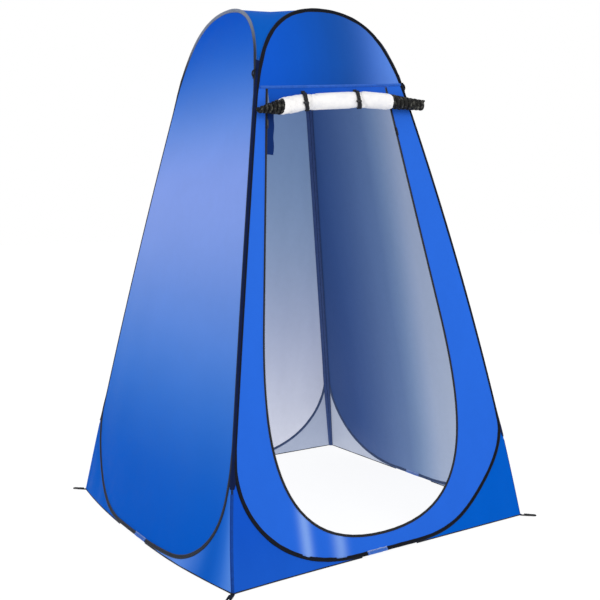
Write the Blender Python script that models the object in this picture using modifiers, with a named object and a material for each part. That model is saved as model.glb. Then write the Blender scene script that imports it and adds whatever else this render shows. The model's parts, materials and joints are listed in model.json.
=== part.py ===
"""Pop-up privacy shower tent.

Four sprung steel hoops, each sewn into the edge of a flat cloth side, stand as a tall
pyramid. Neighbouring sides meet at sewn corner seams, which are the hinges of the fold.
The front side has a tall door opening with its door flap rolled up under the header.

Metres, +Z up. The origin is on the ground at the middle of the base, the door faces -Y.
"""
import math

import bmesh
import bpy
from mathutils import Matrix, Vector

# Overall shape
AXIS_HALF = 0.634           # half the distance between the corner hinge lines, on the ground
LEAN = 0.1975               # each side leans in by this much for each metre of height
TOP_Z = 1.895               # hoop centre line, highest
BOTTOM_Z = 0.0085           # hoop centre line, lowest
FLAT_HALF = 0.12            # half the straight stretch at the bottom of a hoop
BEND_Z = 0.37               # the bottom bend of a hoop meets the corner seam here
SHOULDER_Z = 1.62           # the top bend of a hoop leaves the corner seam here
BEND_REACH = (0.36, 0.13)   # handles of the bottom bend, at its low and high end
SHOULDER_REACH = (0.20, 0.165)
BEND_STEPS = 8
SHOULDER_STEPS = 8

# Sections
WIRE_R = 0.0015
SLEEVE_R = 0.005
SLEEVE_WALL = 0.0006
SLEEVE_BREAK = 0.004        # half the gap between the two ends of a sleeve
PATCH_R = 0.0061
PATCH_HALF = 0.042
FERRULE_R = 0.0030
FERRULE_HALF = 0.014
CLOTH = 0.0012
GAP = 0.0003
SHEET_GAP = PATCH_R + 0.0005
GUSSET_LOW = 0.004          # a gusset's curved edge starts above this height
GUSSET_TIP = 0.001          # and ends when it is this close to the corner seam
ROOF_LEAST = 0.02           # the roof starts where neighbouring hoops are this far apart
ROOF_CLEAR = 0.0012         # from a sleeve to the edge of the roof
PEAK_GAP = 2.5 * GAP        # from the tent's axis to the tip of a quarter of the roof
PATCH_X = {"front": -0.055, "right": 0.0, "back": 0.0, "left": 0.075}

# Door opening and its fittings, in the plane of the front side
DOOR_X = -0.02              # middle of the opening
SILL_Z = 0.063
DOOR_BEND_Z = 0.80
DOOR_BEND_HALF = 0.382
DOOR_TAPER = 0.148          # the opening narrows by this much a side for each metre of height
DOOR_REACH = (0.42, 0.42)
DOOR_STEPS = 10
HEADER_Z = 1.61             # the header seam at mid-side
HEADER_TILT = math.radians(5.2)     # its right end is a little higher
HEADER_TAPE = 0.010
TAPE_END = 0.004            # the tape ends this far from the cap's corners
ZIP_WIDTH = 0.007
ZIP_THICK = 0.0016
FLAP_SIZE = (0.048, 0.150)
FLAP_TOP_Z = 1.51
FLAP_TUCK = 0.012           # the flap starts this far outside the opening's edge

ROLL_R = 0.030
ROLL_DROP = 0.054           # from the header seam down to the middle of the roll
ROLL_TILT = math.radians(5.0)      # the right end hangs a little higher
ROLL_WHITE = (-0.262, 0.226)
ROLL_ENDS = (-0.350, 0.374)
ROLL_RIBS = 5
ROLL_SIDES = 16
ROLL_ROUNDING = 0.012       # length of the rounded ends of the plain middle
ROLL_NECK = 0.86            # radii, as shares of ROLL_R: where the plain middle ends,
RIB_START = 0.80            # where the ribs begin,
RIB_DROP = (0.42, 0.24)     # how much the ribs narrow at the left and right end,
ROLL_TIP = (0.28, 0.50)     # and the left and right tips
STRIP_INSET = 0.0055        # from the zip tape to the edge of the hanging strip
STRIP_SINK = 0.001          # from the middle of the roll down to the strip's lower edge
STRIP_THICK = 1.4 * CLOTH
TIE_X = (-0.172, 0.056)
TIE_WIDTH = 0.012
TIE_START = 120.0           # degrees from straight outward, towards the top
TIE_SWEEP = 282.0
TIE_STEPS = 14
TIE_SLACK = 0.0002
TOGGLE_R = 0.0042
TOGGLE_LENGTH = 0.022
TOGGLE_SIDES = 10
TOGGLE_WAIST = 0.70         # radii as shares of TOGGLE_R
TOGGLE_TIP = 0.56
TOGGLE_BEVEL = 0.002
TOGGLE_GROOVE = 0.003       # half the length of the groove at its waist
TOGGLE_ANGLE = math.radians(30.0)   # below straight outward, round the roll

SLIDER_Z = 1.47
SLIDER_SIZE = (0.009, 0.015, 0.0036)
SLIDER_ROUNDING = 0.003
SLIDER_SEAT = 0.6           # how far across the zip tape a slider's middle is
PULL_SIZE = (0.007, 0.028, 0.0014)
PULL_ROUNDING = 0.0028
PULL_HINGE = 0.2            # the hinge is this share of the slider's length above its middle
PULL_RISE = 0.0009          # clear space between a slider and its pull
PULL_TOP = 0.0008           # the pull reaches this far above its hinge
EYE_SIZE = (0.003, 0.008)
EYE_ROUNDING = 0.0012
EYE_UP = 0.007              # from the lower end of the pull to the middle of its eye

# Loops
PEG_LOOP = (0.018, 0.046, 0.003)
PEG_HOLE = (0.008, 0.016)
PEG_ROUNDING = 0.006
PEG_HOLE_ROUNDING = 0.003
PEG_HOLE_IN = 0.014         # from the outer end of the loop to the middle of its hole
PEG_CLEAR = 0.002           # from the corner of the sides to the loop
GUY_LOOP_Z = 1.63
GUY_LOOP_SIZE = (0.030, 0.013)
GUY_LOOP_R = 0.0015
GUY_LOOP_IN = 0.001         # from the middle of the sleeve to the loop's ends
GUY_STEPS = 8

SIDES = ("front", "right", "back", "left")
SLOPE = math.hypot(1.0, LEAN)
PLANE_OFFSET = SLEEVE_R + 0.0004    # from a hinge line out to the middle of the cloth
EDGE_AT_GROUND = AXIS_HALF + LEAN ** 2 * PLANE_OFFSET / SLOPE
EDGE_SLANT = LEAN / SLOPE
HOOP_INSET = PLANE_OFFSET * math.hypot(1.0, EDGE_SLANT)
HEADER_V = HEADER_Z * SLOPE

BLUE = (0.02, 0.13, 0.62)
BLACK = (0.012, 0.014, 0.022)
STEEL = (0.55, 0.56, 0.58)
WHITE = (0.84, 0.83, 0.83)


# ---------------------------------------------------------------- scene helpers

def clear_scene():
    for obj in list(bpy.data.objects):
        bpy.data.objects.remove(obj, do_unlink=True)


def new_collection(name):
    collection = bpy.data.collections.new(name)
    bpy.context.scene.collection.children.link(collection)
    return collection


def material(name, colour, roughness, metallic=0.0):
    mat = bpy.data.materials.new(name)
    mat.use_nodes = True
    shader = mat.node_tree.nodes["Principled BSDF"]
    shader.inputs["Base Color"].default_value = (*colour, 1.0)
    shader.inputs["Roughness"].default_value = roughness
    shader.inputs["Metallic"].default_value = metallic
    mat.diffuse_color = (*colour, 1.0)
    return mat


def add_part(name, data, matrix, look, pivot=None):
    """Link one piece, put it in the world by matrix, and hang it on its pivot empty."""
    obj = bpy.data.objects.new(name, data)
    PARTS.objects.link(obj)
    data.materials.append(material(name, *look))
    if pivot is not None:
        obj.parent = pivot
        obj.matrix_parent_inverse = pivot.matrix_world.inverted()
    obj.matrix_basis = matrix
    return obj


def add_pivot(name, point, direction):
    """An empty on a joint's axis, its Z along the axis."""
    empty = bpy.data.objects.new(name, None)
    empty.empty_display_size = 0.05
    PARTS.objects.link(empty)
    turn = Vector((0, 0, 1)).rotation_difference(direction).to_matrix().to_4x4()
    empty.matrix_basis = Matrix.Translation(point) @ turn
    empty.matrix_world = empty.matrix_basis
    return empty


def add_solidify(obj, thickness, offset=0.0):
    shell = obj.modifiers.new("Shell", "SOLIDIFY")
    shell.thickness = thickness
    shell.offset = offset
    shell.use_even_offset = True
    return shell


# ---------------------------------------------------------------- outlines

def side_frame(side):
    """Local X along the side, Y up its slope, Z outward, from the ground at mid-side."""
    reach = AXIS_HALF + PLANE_OFFSET * SLOPE
    tilt = Matrix((
        (1.0, 0.0, 0.0, 0.0),
        (0.0, LEAN / SLOPE, -1.0 / SLOPE, -reach),
        (0.0, 1.0 / SLOPE, LEAN / SLOPE, 0.0),
        (0.0, 0.0, 0.0, 1.0)))
    return Matrix.Rotation(SIDES.index(side) * math.pi / 2, 4, "Z") @ tilt


def bezier(p0, p1, p2, p3, steps):
    points = []
    for i in range(steps + 1):
        t = i / steps
        s = 1.0 - t
        points.append(p0 * s ** 3 + p1 * (3 * s * s * t) + p2 * (3 * s * t * t) + p3 * t ** 3)
    return points


def edge_u(v):
    """Where the corner hinge line runs, measured from the middle of a side."""
    return EDGE_AT_GROUND - v * EDGE_SLANT


def hoop_half():
    """The right half of a hoop's centre line, from the bottom middle to the top middle."""
    up_edge = Vector((-EDGE_SLANT, 1.0))
    low = Vector((FLAT_HALF, BOTTOM_Z * SLOPE))
    bend = Vector((edge_u(BEND_Z * SLOPE) - HOOP_INSET, BEND_Z * SLOPE))
    shoulder = Vector((edge_u(SHOULDER_Z * SLOPE) - HOOP_INSET, SHOULDER_Z * SLOPE))
    top = Vector((0.0, TOP_Z * SLOPE))
    bottom_bend = bezier(low, low + Vector((BEND_REACH[0], 0)), bend - up_edge * BEND_REACH[1],
                         bend, BEND_STEPS)
    top_bend = bezier(shoulder, shoulder + up_edge * SHOULDER_REACH[0],
                      top + Vector((SHOULDER_REACH[1], 0)), top, SHOULDER_STEPS)
    return bottom_bend + top_bend


def hoop_loop():
    """The whole centre line, anticlockwise from the bottom, without a doubled top point."""
    half = hoop_half()
    mirrored = [Vector((-p.x, p.y)) for p in reversed(half[:-1])]
    return half + mirrored


def offset_path(points, distance, closed=False):
    """Points moved to the left of the path by distance."""
    moved = []
    count = len(points)
    for i, point in enumerate(points):
        before = points[i - 1] if closed or i > 0 else point
        after = points[(i + 1) % count] if closed or i < count - 1 else point
        back = (point - before).normalized() if before != point else (after - point).normalized()
        ahead = (after - point).normalized() if after != point else back
        normal = Vector((-(back.y + ahead.y), back.x + ahead.x)).normalized()
        stretch = normal.dot(Vector((-ahead.y, ahead.x)))
        moved.append(point + normal * (distance / stretch))
    return moved


def header_v(u, shift=0.0):
    """Height of the slanting header seam in the plane of the front side."""
    return HEADER_V + u * math.tan(HEADER_TILT) + shift


def cross_header(a, b, shift):
    """Where the line through a and b meets the header seam."""
    below = a.y - header_v(a.x, shift)
    above = b.y - header_v(b.x, shift)
    return a + (b - a) * (below / (below - above))


def below_header(points, shift):
    """The stretch of an upright U-shaped path that lies below the header seam."""
    kept = [p for p in points if p.y < header_v(p.x, shift)]
    first = points.index(kept[0])
    last = points.index(kept[-1])
    start = cross_header(points[first], points[first - 1], shift)
    end = cross_header(points[last], points[(last + 1) % len(points)], shift)
    return [start] + kept + [end]


def door_half():
    """Right half of the door opening about its own middle, from the sill up."""
    taper = Vector((-DOOR_TAPER / SLOPE, 1.0))
    sill = Vector((0.0, SILL_Z * SLOPE))
    bend = Vector((DOOR_BEND_HALF, DOOR_BEND_Z * SLOPE))
    curve = bezier(sill, sill + Vector((DOOR_REACH[0], 0)), bend - taper * DOOR_REACH[1],
                   bend, DOOR_STEPS)
    curve.append(bend + taper * (HEADER_V + DOOR_BEND_HALF * math.tan(HEADER_TILT) - bend.y))
    return curve


def door_edge(shift, inset=0.0):
    """The opening's edge from the header at the left, round the sill, to the header again."""
    half = door_half()
    left = [Vector((DOOR_X - p.x, p.y)) for p in reversed(half[1:])]
    right = [Vector((DOOR_X + p.x, p.y)) for p in half]
    edge = offset_path(left + right, inset)
    edge[0] = cross_header(edge[1], edge[0], shift)
    edge[-1] = cross_header(edge[-2], edge[-1], shift)
    return edge


def door_half_width(height):
    return DOOR_BEND_HALF - (height - DOOR_BEND_Z) * DOOR_TAPER


def rounded_rect(width, height, radius, centre=(0.0, 0.0), steps=4):
    points = []
    corners = ((1, -1, -90), (1, 1, 0), (-1, 1, 90), (-1, -1, 180))
    for sx, sy, start in corners:
        middle = Vector(centre) + Vector((sx * (width / 2 - radius), sy * (height / 2 - radius)))
        for i in range(steps + 1):
            angle = math.radians(start + 90 * i / steps)
            points.append(middle + Vector((math.cos(angle), math.sin(angle))) * radius)
    return points


# ---------------------------------------------------------------- shapes

def sheet_data(name, outlines, thickness):
    """A flat sheet from one outline, with any further outlines as its holes."""
    curve = bpy.data.curves.new(name, "CURVE")
    curve.dimensions = "2D"
    curve.fill_mode = "BOTH"
    curve.extrude = thickness / 2
    for outline in outlines:
        spline = curve.splines.new("POLY")
        spline.points.add(len(outline) - 1)
        for target, point in zip(spline.points, outline):
            target.co = (point.x, point.y, 0.0, 1.0)
        spline.use_cyclic_u = True
    return curve


def rod_data(name, points, radius, cyclic=False, sides=6, caps=True):
    """A round rod, or an uncapped tube wall, along a path of 2D or 3D points."""
    curve = bpy.data.curves.new(name, "CURVE")
    curve.dimensions = "3D"
    curve.bevel_depth = radius
    curve.bevel_resolution = (sides - 4) // 2
    curve.use_fill_caps = caps and not cyclic
    spline = curve.splines.new("POLY")
    spline.points.add(len(points) - 1)
    for target, point in zip(spline.points, points):
        target.co = (*Vector(point).to_3d(), 1.0)
    spline.use_cyclic_u = cyclic
    return curve


def mesh_data(name, vertices, faces):
    mesh = bpy.data.meshes.new(name)
    mesh.from_pydata(vertices, [], faces)
    mesh.update()
    return mesh


def turned_data(name, profile):
    """The open outline, from axis to axis, of a solid of revolution about X."""
    outline = [(profile[0][0], 0.0)] + profile + [(profile[-1][0], 0.0)]
    mesh = bpy.data.meshes.new(name)
    edges = [(i, i + 1) for i in range(len(outline) - 1)]
    mesh.from_pydata([(x, radius, 0.0) for x, radius in outline], edges, [])
    return mesh


def add_screw(obj, sides):
    """Turn an outline about X into a closed solid."""
    screw = obj.modifiers.new("Turn", "SCREW")
    screw.axis = "X"
    screw.angle = 2 * math.pi
    screw.steps = sides
    screw.render_steps = sides
    screw.use_merge_vertices = True
    screw.merge_threshold = 0.00005
    screw.use_normal_calculate = True
    return screw


def fix_normals(mesh):
    work = bmesh.new()
    work.from_mesh(mesh)
    bmesh.ops.remove_doubles(work, verts=work.verts, dist=0.00005)
    bmesh.ops.recalc_face_normals(work, faces=work.faces)
    work.to_mesh(mesh)
    work.free()


# ---------------------------------------------------------------- one side of the tent

def make_hoop(side, frame, pivot):
    """Wire, ferrule, sleeve and the patch over the sleeve's joint."""
    loop = hoop_loop()
    middle = Vector((PATCH_X[side], BOTTOM_Z * SLOPE))
    add_part(f"{side}_hoop_wire", rod_data("wire", loop, WIRE_R, cyclic=True), frame,
             (STEEL, 0.3, 0.9), pivot)
    start = middle + Vector((SLEEVE_BREAK, 0))
    end = middle - Vector((SLEEVE_BREAK, 0))
    sleeve = add_part(f"{side}_sleeve",
                      rod_data("sleeve", [start] + loop + [end], SLEEVE_R, sides=8, caps=False),
                      frame, (BLACK, 0.7), pivot)
    add_solidify(sleeve, SLEEVE_WALL, -1.0)
    make_collar(f"{side}_ferrule", middle, FERRULE_HALF, FERRULE_R, 0.001, frame,
                (STEEL, 0.35, 0.9), pivot)
    make_collar(f"{side}_patch", middle, PATCH_HALF, PATCH_R, PATCH_R - SLEEVE_R - GAP, frame,
                ((0.35, 0.5, 0.85), 0.7), pivot)


def make_collar(name, middle, half, radius, wall, frame, look, pivot):
    """A short open tube round the straight bottom of a hoop."""
    ends = [middle - Vector((half, 0)), middle + Vector((half, 0))]
    collar = add_part(name, rod_data("collar", ends, radius, sides=8, caps=False), frame,
                      look, pivot)
    add_solidify(collar, wall, -1.0)


def make_gussets(side, frame, pivot):
    """The two flat cloth triangles between a hoop's bottom bends and its corner seams."""
    outer = offset_path(hoop_half(), -SHEET_GAP)
    margin = CLOTH / 2
    curved = [p for p in outer if p.y > GUSSET_LOW and p.x < edge_u(p.y) - margin - GUSSET_TIP
              and p.y < SHOULDER_Z]
    tip = Vector((edge_u(curved[-1].y) - margin, curved[-1].y))
    foot = Vector((edge_u(GAP) - margin, GAP))
    outline = [Vector((curved[0].x, GAP)), foot, tip] + list(reversed(curved))
    for name, sign in (("left", -1), ("right", 1)):
        points = [Vector((sign * p.x, p.y)) for p in outline]
        add_part(f"{side}_gusset_{name}", sheet_data("gusset", [points], CLOTH), frame,
                 (BLUE, 0.6), pivot)


def make_roof(side, pivot):
    """A quarter of the roof cloth, spanning level lines between neighbouring hoop tops."""
    shoulder = [p for p in hoop_half() if p.y >= SHOULDER_Z * SLOPE]
    rows = []
    for point in shoulder:
        height = point.y / SLOPE
        depth = AXIS_HALF + PLANE_OFFSET * SLOPE - LEAN * height
        if depth - point.x > ROOF_LEAST:
            rows.append((point.x, depth, height))
    vertices = []
    faces = []
    clear = (SLEEVE_R + ROOF_CLEAR) * math.sqrt(2)
    for sign in (-1, 1):
        base = len(vertices)
        for across, depth, height in rows:
            half = (across + depth) / 2
            inward = Vector((half - across, depth - half)).normalized() * clear
            vertices.append((sign * (across + inward.x), -depth + inward.y, height))
            vertices.append((sign * (half - GAP), -half - GAP, height))
        for i in range(len(rows) - 1):
            a = base + 2 * i
            faces.append((a, a + 1, a + 3, a + 2))
        vertices.append((0.0, -PEAK_GAP, rows[-1][2]))
        faces.append((len(vertices) - 3, len(vertices) - 2, len(vertices) - 1))
    middle = Vector(vertices[2 * len(rows) - 2])
    for index in (2 * len(rows) - 2, 4 * len(rows) - 1):
        vertices[index] = (0.0, middle.y, middle.z)
    mesh = mesh_data("roof", vertices, faces)
    fix_normals(mesh)
    turn = Matrix.Rotation(SIDES.index(side) * math.pi / 2, 4, "Z")
    roof = add_part(f"{side}_roof", mesh, turn, (BLUE, 0.6), pivot)
    add_solidify(roof, CLOTH)


def make_plain_panel(side, frame, pivot):
    outline = offset_path(hoop_loop(), SHEET_GAP, closed=True)
    add_part(f"{side}_panel", sheet_data("panel", [outline], CLOTH), frame, (BLUE, 0.6), pivot)


def make_front_panels(frame, pivot):
    """The band round the door opening, and the separate cap above the header seam."""
    loop = offset_path(hoop_loop(), SHEET_GAP, closed=True)
    half_way = len(loop) // 2
    band = below_header(loop[half_way:] + loop[:half_way], -GAP)
    opening = list(reversed(door_edge(-GAP)))
    add_part("front_panel", sheet_data("panel", [band + opening], CLOTH), frame,
             (BLUE, 0.6), pivot)
    high = [p for p in loop if p.y > header_v(p.x, GAP)]
    right_end = cross_header(loop[loop.index(high[0]) - 1], high[0], GAP)
    left_end = cross_header(high[-1], loop[loop.index(high[-1]) + 1], GAP)
    add_part("front_cap_panel", sheet_data("cap", [[left_end, right_end] + high], CLOTH), frame,
             (BLUE, 0.6), pivot)
    middle = (left_end + right_end) / 2
    half = (right_end - left_end).length / 2 - TAPE_END
    tape = [Vector((-half, 0)), Vector((half, 0)), Vector((half, HEADER_TAPE)),
            Vector((-half, HEADER_TAPE))]
    lift = Matrix.Translation((middle.x, middle.y, CLOTH + GAP))
    turn = Matrix.Rotation(HEADER_TILT, 4, "Z")
    add_part("header_tape", sheet_data("tape", [tape], CLOTH), frame @ lift @ turn,
             (BLUE, 0.6), pivot)


# ---------------------------------------------------------------- door and zip

def make_zip_tape(frame, pivot):
    outer = door_edge(-2 * GAP, GAP)
    inner = door_edge(-2 * GAP, GAP + ZIP_WIDTH)
    add_part("zip_tape", sheet_data("zip", [outer + list(reversed(inner))], ZIP_THICK), frame,
             (BLACK, 0.6), pivot)


def make_side_flap(frame, pivot):
    """A cloth strip sewn behind the left edge of the opening, under the header."""
    width, length = FLAP_SIZE
    outline = []
    for drop in (0.0, length):
        height = FLAP_TOP_Z - drop
        edge = DOOR_X - door_half_width(height) - FLAP_TUCK
        outline.append([Vector((edge, height * SLOPE)), Vector((edge + width, height * SLOPE))])
    points = [outline[0][0], outline[1][0], outline[1][1], outline[0][1]]
    behind = Matrix.Translation((0.0, 0.0, -(ZIP_THICK / 2 + CLOTH / 2 + 2 * GAP)))
    add_part("side_flap", sheet_data("flap", [points], CLOTH), frame @ behind,
             ((0.01, 0.05, 0.3), 0.6), pivot)


def roll_profile():
    """(x, radius) of the rolled flap: a plain middle, and ends that step down rib by rib."""
    white_left, white_right = ROLL_WHITE
    left_end, right_end = ROLL_ENDS
    profile = [(white_left, ROLL_R * ROLL_NECK), (white_left + ROLL_ROUNDING, ROLL_R),
               (white_right - ROLL_ROUNDING, ROLL_R), (white_right, ROLL_R * ROLL_NECK)]
    left = []
    right = []
    for i in range(ROLL_RIBS):
        share = (i + 0.5) / ROLL_RIBS
        x_left = white_left + (left_end - white_left) * share
        x_right = white_right + (right_end - white_right) * share
        left.append((x_left, ROLL_R * (RIB_START - RIB_DROP[0] * share)))
        right.append((x_right, ROLL_R * (RIB_START - RIB_DROP[1] * share)))
    left.append((left_end, ROLL_R * ROLL_TIP[0]))
    right.append((right_end, ROLL_R * ROLL_TIP[1]))
    return list(reversed(left)) + profile + right


def make_door_roll(frame, pivot):
    """The rolled flap, joined to the short hanging strip it is rolled from."""
    roll_v = header_v(DOOR_X) - ROLL_DROP
    centre = Matrix.Translation((DOOR_X, roll_v, ROLL_R))
    roll_matrix = frame @ centre @ Matrix.Rotation(ROLL_TILT, 4, "Z")
    roll = add_part("door_roll", turned_data("roll", roll_profile()), roll_matrix,
                    (WHITE, 0.75), pivot)
    add_screw(roll, ROLL_SIDES)
    half = door_half_width(HEADER_Z) - ZIP_WIDTH - STRIP_INSET
    left = DOOR_X - half
    right = DOOR_X + half
    rise = half * math.tan(ROLL_TILT)
    low = roll_v - STRIP_SINK
    top = -4 * GAP
    strip = [Vector((left, low - rise)), Vector((right, low + rise)),
             Vector((right, header_v(right, top))), Vector((left, header_v(left, top)))]
    cutter = bpy.data.objects.new("door_strip", sheet_mesh("strip", [strip], STRIP_THICK))
    CUTTERS.objects.link(cutter)
    cutter.matrix_basis = frame
    cutter.hide_render = True
    cutter.display_type = "WIRE"
    union = roll.modifiers.new("Strip", "BOOLEAN")
    union.operation = "UNION"
    union.solver = "EXACT"
    union.object = cutter
    return roll_matrix


def sheet_mesh(name, outlines, thickness):
    """The same flat sheet as sheet_data makes, but as a closed mesh."""
    holder = bpy.data.objects.new("sheet_source", sheet_data(name, outlines, thickness))
    bpy.context.scene.collection.objects.link(holder)
    graph = bpy.context.evaluated_depsgraph_get()
    mesh = bpy.data.meshes.new_from_object(holder.evaluated_get(graph))
    bpy.data.objects.remove(holder, do_unlink=True)
    fix_normals(mesh)
    return mesh


def make_ties(roll_matrix, roll_pivot):
    """Two straps round the roll, open where the hanging strip leaves it, and their toggles."""
    chord = math.cos(math.radians(TIE_SWEEP / 2 / TIE_STEPS))
    radius = (ROLL_R + GAP + CLOTH / 2) / chord + TIE_SLACK
    low, high = -math.sin(TOGGLE_ANGLE), math.cos(TOGGLE_ANGLE)
    for side, x in zip(("left", "right"), TIE_X):
        local_x = x - DOOR_X
        arc = []
        for i in range(TIE_STEPS + 1):
            angle = math.radians(TIE_START - TIE_SWEEP * i / TIE_STEPS)
            arc.append(Vector((math.cos(angle), math.sin(angle))) * radius)
        curve = bpy.data.curves.new("tie", "CURVE")
        curve.dimensions = "3D"
        curve.extrude = TIE_WIDTH / 2
        spline = curve.splines.new("POLY")
        spline.points.add(len(arc) - 1)
        for target, point in zip(spline.points, arc):
            target.co = (point.x, point.y, 0.0, 1.0)
        axes = Matrix(((0, 0, 1, local_x), (0, 1, 0, 0), (1, 0, 0, 0), (0, 0, 0, 1)))
        tie = add_part(f"roll_tie_{side}", curve, roll_matrix @ axes, (BLACK, 0.7), roll_pivot)
        add_solidify(tie, CLOTH)
        out = radius + CLOTH / 2 + GAP + TOGGLE_R
        seat = roll_matrix @ Matrix.Translation((local_x, out * low, out * high))
        facing = (seat.to_3x3() @ Vector((0, low, high))).normalized()
        pivot = add_pivot(f"toggle_{side}_pivot", seat.translation, facing)
        pivot.parent = roll_pivot
        pivot.matrix_parent_inverse = roll_pivot.matrix_world.inverted()
        half = TOGGLE_LENGTH / 2
        tip = TOGGLE_R * TOGGLE_TIP
        profile = [(-half, tip), (-half + TOGGLE_BEVEL, TOGGLE_R), (-TOGGLE_GROOVE, TOGGLE_R),
                   (0.0, TOGGLE_R * TOGGLE_WAIST), (TOGGLE_GROOVE, TOGGLE_R),
                   (half - TOGGLE_BEVEL, TOGGLE_R), (half, tip)]
        toggle = add_part(f"tie_toggle_{side}", turned_data("toggle", profile), seat,
                          (BLACK, 0.4), pivot)
        add_screw(toggle, TOGGLE_SIDES)


def make_sliders(frame, front_pivot):
    """A slider on each straight edge of the opening, with a hanging pull tab."""
    width, length, thick = SLIDER_SIZE
    for side, sign in (("left", -1), ("right", 1)):
        lean = math.atan2(DOOR_TAPER / SLOPE, 1.0) * sign
        zip_middle = door_half_width(SLIDER_Z) - ZIP_WIDTH * SLIDER_SEAT
        place = Matrix.Translation((DOOR_X + sign * zip_middle, SLIDER_Z * SLOPE,
                                    ZIP_THICK / 2 + GAP + thick / 2))
        seat = frame @ place @ Matrix.Rotation(lean, 4, "Z")
        travel = (seat.to_3x3() @ Vector((0, -1, 0))).normalized()
        slide = add_pivot(f"slider_{side}_pivot", seat.translation, travel)
        slide.parent = front_pivot
        slide.matrix_parent_inverse = front_pivot.matrix_world.inverted()
        body = rounded_rect(width, length, SLIDER_ROUNDING)
        add_part(f"zip_slider_{side}", sheet_data("slider", [body], thick), seat,
                 (BLACK, 0.35, 0.6), slide)
        pull_width, pull_length, pull_thick = PULL_SIZE
        rise = (thick + pull_thick) / 2 + PULL_RISE
        top = seat @ Matrix.Translation((0, length * PULL_HINGE, rise))
        across = seat.to_3x3() @ Vector((-1, 0, 0))
        hinge = add_pivot(f"pull_{side}_pivot", top.translation, across)
        hinge.parent = slide
        hinge.matrix_parent_inverse = slide.matrix_world.inverted()
        tab = rounded_rect(pull_width, pull_length, PULL_ROUNDING,
                           (0.0, PULL_TOP - pull_length / 2))
        eye = rounded_rect(*EYE_SIZE, EYE_ROUNDING, (0.0, EYE_UP - pull_length), steps=2)
        add_part(f"zip_pull_{side}", sheet_data("pull", [tab, eye], pull_thick), top,
                 (BLACK, 0.35, 0.6), hinge)


# ---------------------------------------------------------------- corner loops

def corner_frame(turns):
    """X outward along the diagonal, Z up, on the ground at a corner of the base."""
    spin = Matrix.Rotation(math.radians(225 + 90 * turns), 4, "Z")
    start = (AXIS_HALF + 2 * PLANE_OFFSET + PEG_CLEAR) * math.sqrt(2)
    return spin @ Matrix.Translation((start, 0.0, 0.0))


def make_peg_loop(name, turns, body_pivot):
    """A webbing loop flat on the ground at a corner, hinged at its sewn end."""
    width, length, thick = PEG_LOOP
    frame = corner_frame(turns)
    seam = frame @ Matrix.Translation((0.0, 0.0, thick / 2))
    pivot = add_pivot(f"{name}_pivot", seam.translation, frame.to_3x3() @ Vector((0, -1, 0)))
    if body_pivot is not None:
        pivot.parent = body_pivot
        pivot.matrix_parent_inverse = body_pivot.matrix_world.inverted()
    outline = rounded_rect(length, width, PEG_ROUNDING, (length / 2, 0.0))
    hole = rounded_rect(PEG_HOLE[1], PEG_HOLE[0], PEG_HOLE_ROUNDING, (length - PEG_HOLE_IN, 0.0))
    add_part(name, sheet_data("peg_loop", [outline, hole], thick), seam, (BLACK, 0.7), pivot)


def make_guy_loop(name, side, sign, body_pivot):
    """A small loop sewn on the outer face of a sleeve, high on a corner."""
    height, reach = GUY_LOOP_SIZE
    v = GUY_LOOP_Z * SLOPE
    across = edge_u(v) - HOOP_INSET - GUY_LOOP_IN
    place = Matrix.Translation((sign * across, v, SLEEVE_R + GAP))
    arc = []
    for i in range(GUY_STEPS + 1):
        angle = math.pi * i / GUY_STEPS
        arc.append((0.0, math.cos(angle) * height / 2,
                    math.sin(angle) * reach + GUY_LOOP_R + GAP))
    add_part(name, rod_data("guy_loop", arc, GUY_LOOP_R), side_frame(side) @ place,
             (BLACK, 0.6), body_pivot)


# ---------------------------------------------------------------- the whole tent

def hinge_pivot(name, sx, sy):
    """An empty on the corner hinge line that meets the ground at (sx, sy) * AXIS_HALF."""
    foot = Vector((sx * AXIS_HALF, sy * AXIS_HALF, 0.0))
    along = Vector((-sx * LEAN, -sy * LEAN, 1.0)).normalized()
    return add_pivot(name, foot, along)


def make_tent():
    right = hinge_pivot("right_pivot", 1, 1)
    left = hinge_pivot("left_pivot", -1, 1)
    front = hinge_pivot("front_pivot", 1, -1)
    front.parent = right
    front.matrix_parent_inverse = right.matrix_world.inverted()
    pivots = {"back": None, "right": right, "left": left, "front": front}
    for side in SIDES:
        frame = side_frame(side)
        make_hoop(side, frame, pivots[side])
        make_gussets(side, frame, pivots[side])
        make_roof(side, pivots[side])
        if side != "front":
            make_plain_panel(side, frame, pivots[side])
    frame = side_frame("front")
    make_front_panels(frame, front)
    make_zip_tape(frame, front)
    make_side_flap(frame, front)
    seam = frame @ Vector((DOOR_X, header_v(DOOR_X), 0.0))
    along = frame.to_3x3() @ Vector((-math.cos(HEADER_TILT), -math.sin(HEADER_TILT), 0.0))
    roll_pivot = add_pivot("door_roll_pivot", seam, along)
    roll_pivot.parent = front
    roll_pivot.matrix_parent_inverse = front.matrix_world.inverted()
    roll_matrix = make_door_roll(frame, roll_pivot)
    make_ties(roll_matrix, roll_pivot)
    make_sliders(frame, front)
    corners = (("front_left", 0, "left", 1, left), ("front_right", 1, "right", -1, right),
               ("back_right", 2, "back", -1, None), ("back_left", 3, "back", 1, None))
    for corner, turns, side, sign, pivot in corners:
        make_peg_loop(f"peg_loop_{corner}", turns, pivot)
        make_guy_loop(f"guy_loop_{corner}", side, sign, pivot)


clear_scene()
PARTS = new_collection("privacy_shower_tent")
CUTTERS = new_collection("cutters")
make_tent()
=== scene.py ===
"""Looks of the pop-up privacy shower tent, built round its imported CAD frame.

Every cloth, binding, strap and cord of the frame is replaced by a finished piece that rides on
the same body. The sprung hoops bow outward a little at mid-height, as the real ones do, and the
cloth follows them. Zip sliders, pulls and toggles stay as the CAD nodes and get new materials.

Metres, +Z up, the door faces -Y. A point of a side is (u, v, w): along the side, up its slope,
and outward.
"""
import json
import math

import bmesh
import bpy
import numpy as np
from mathutils import Matrix, Vector, geometry, noise

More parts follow.
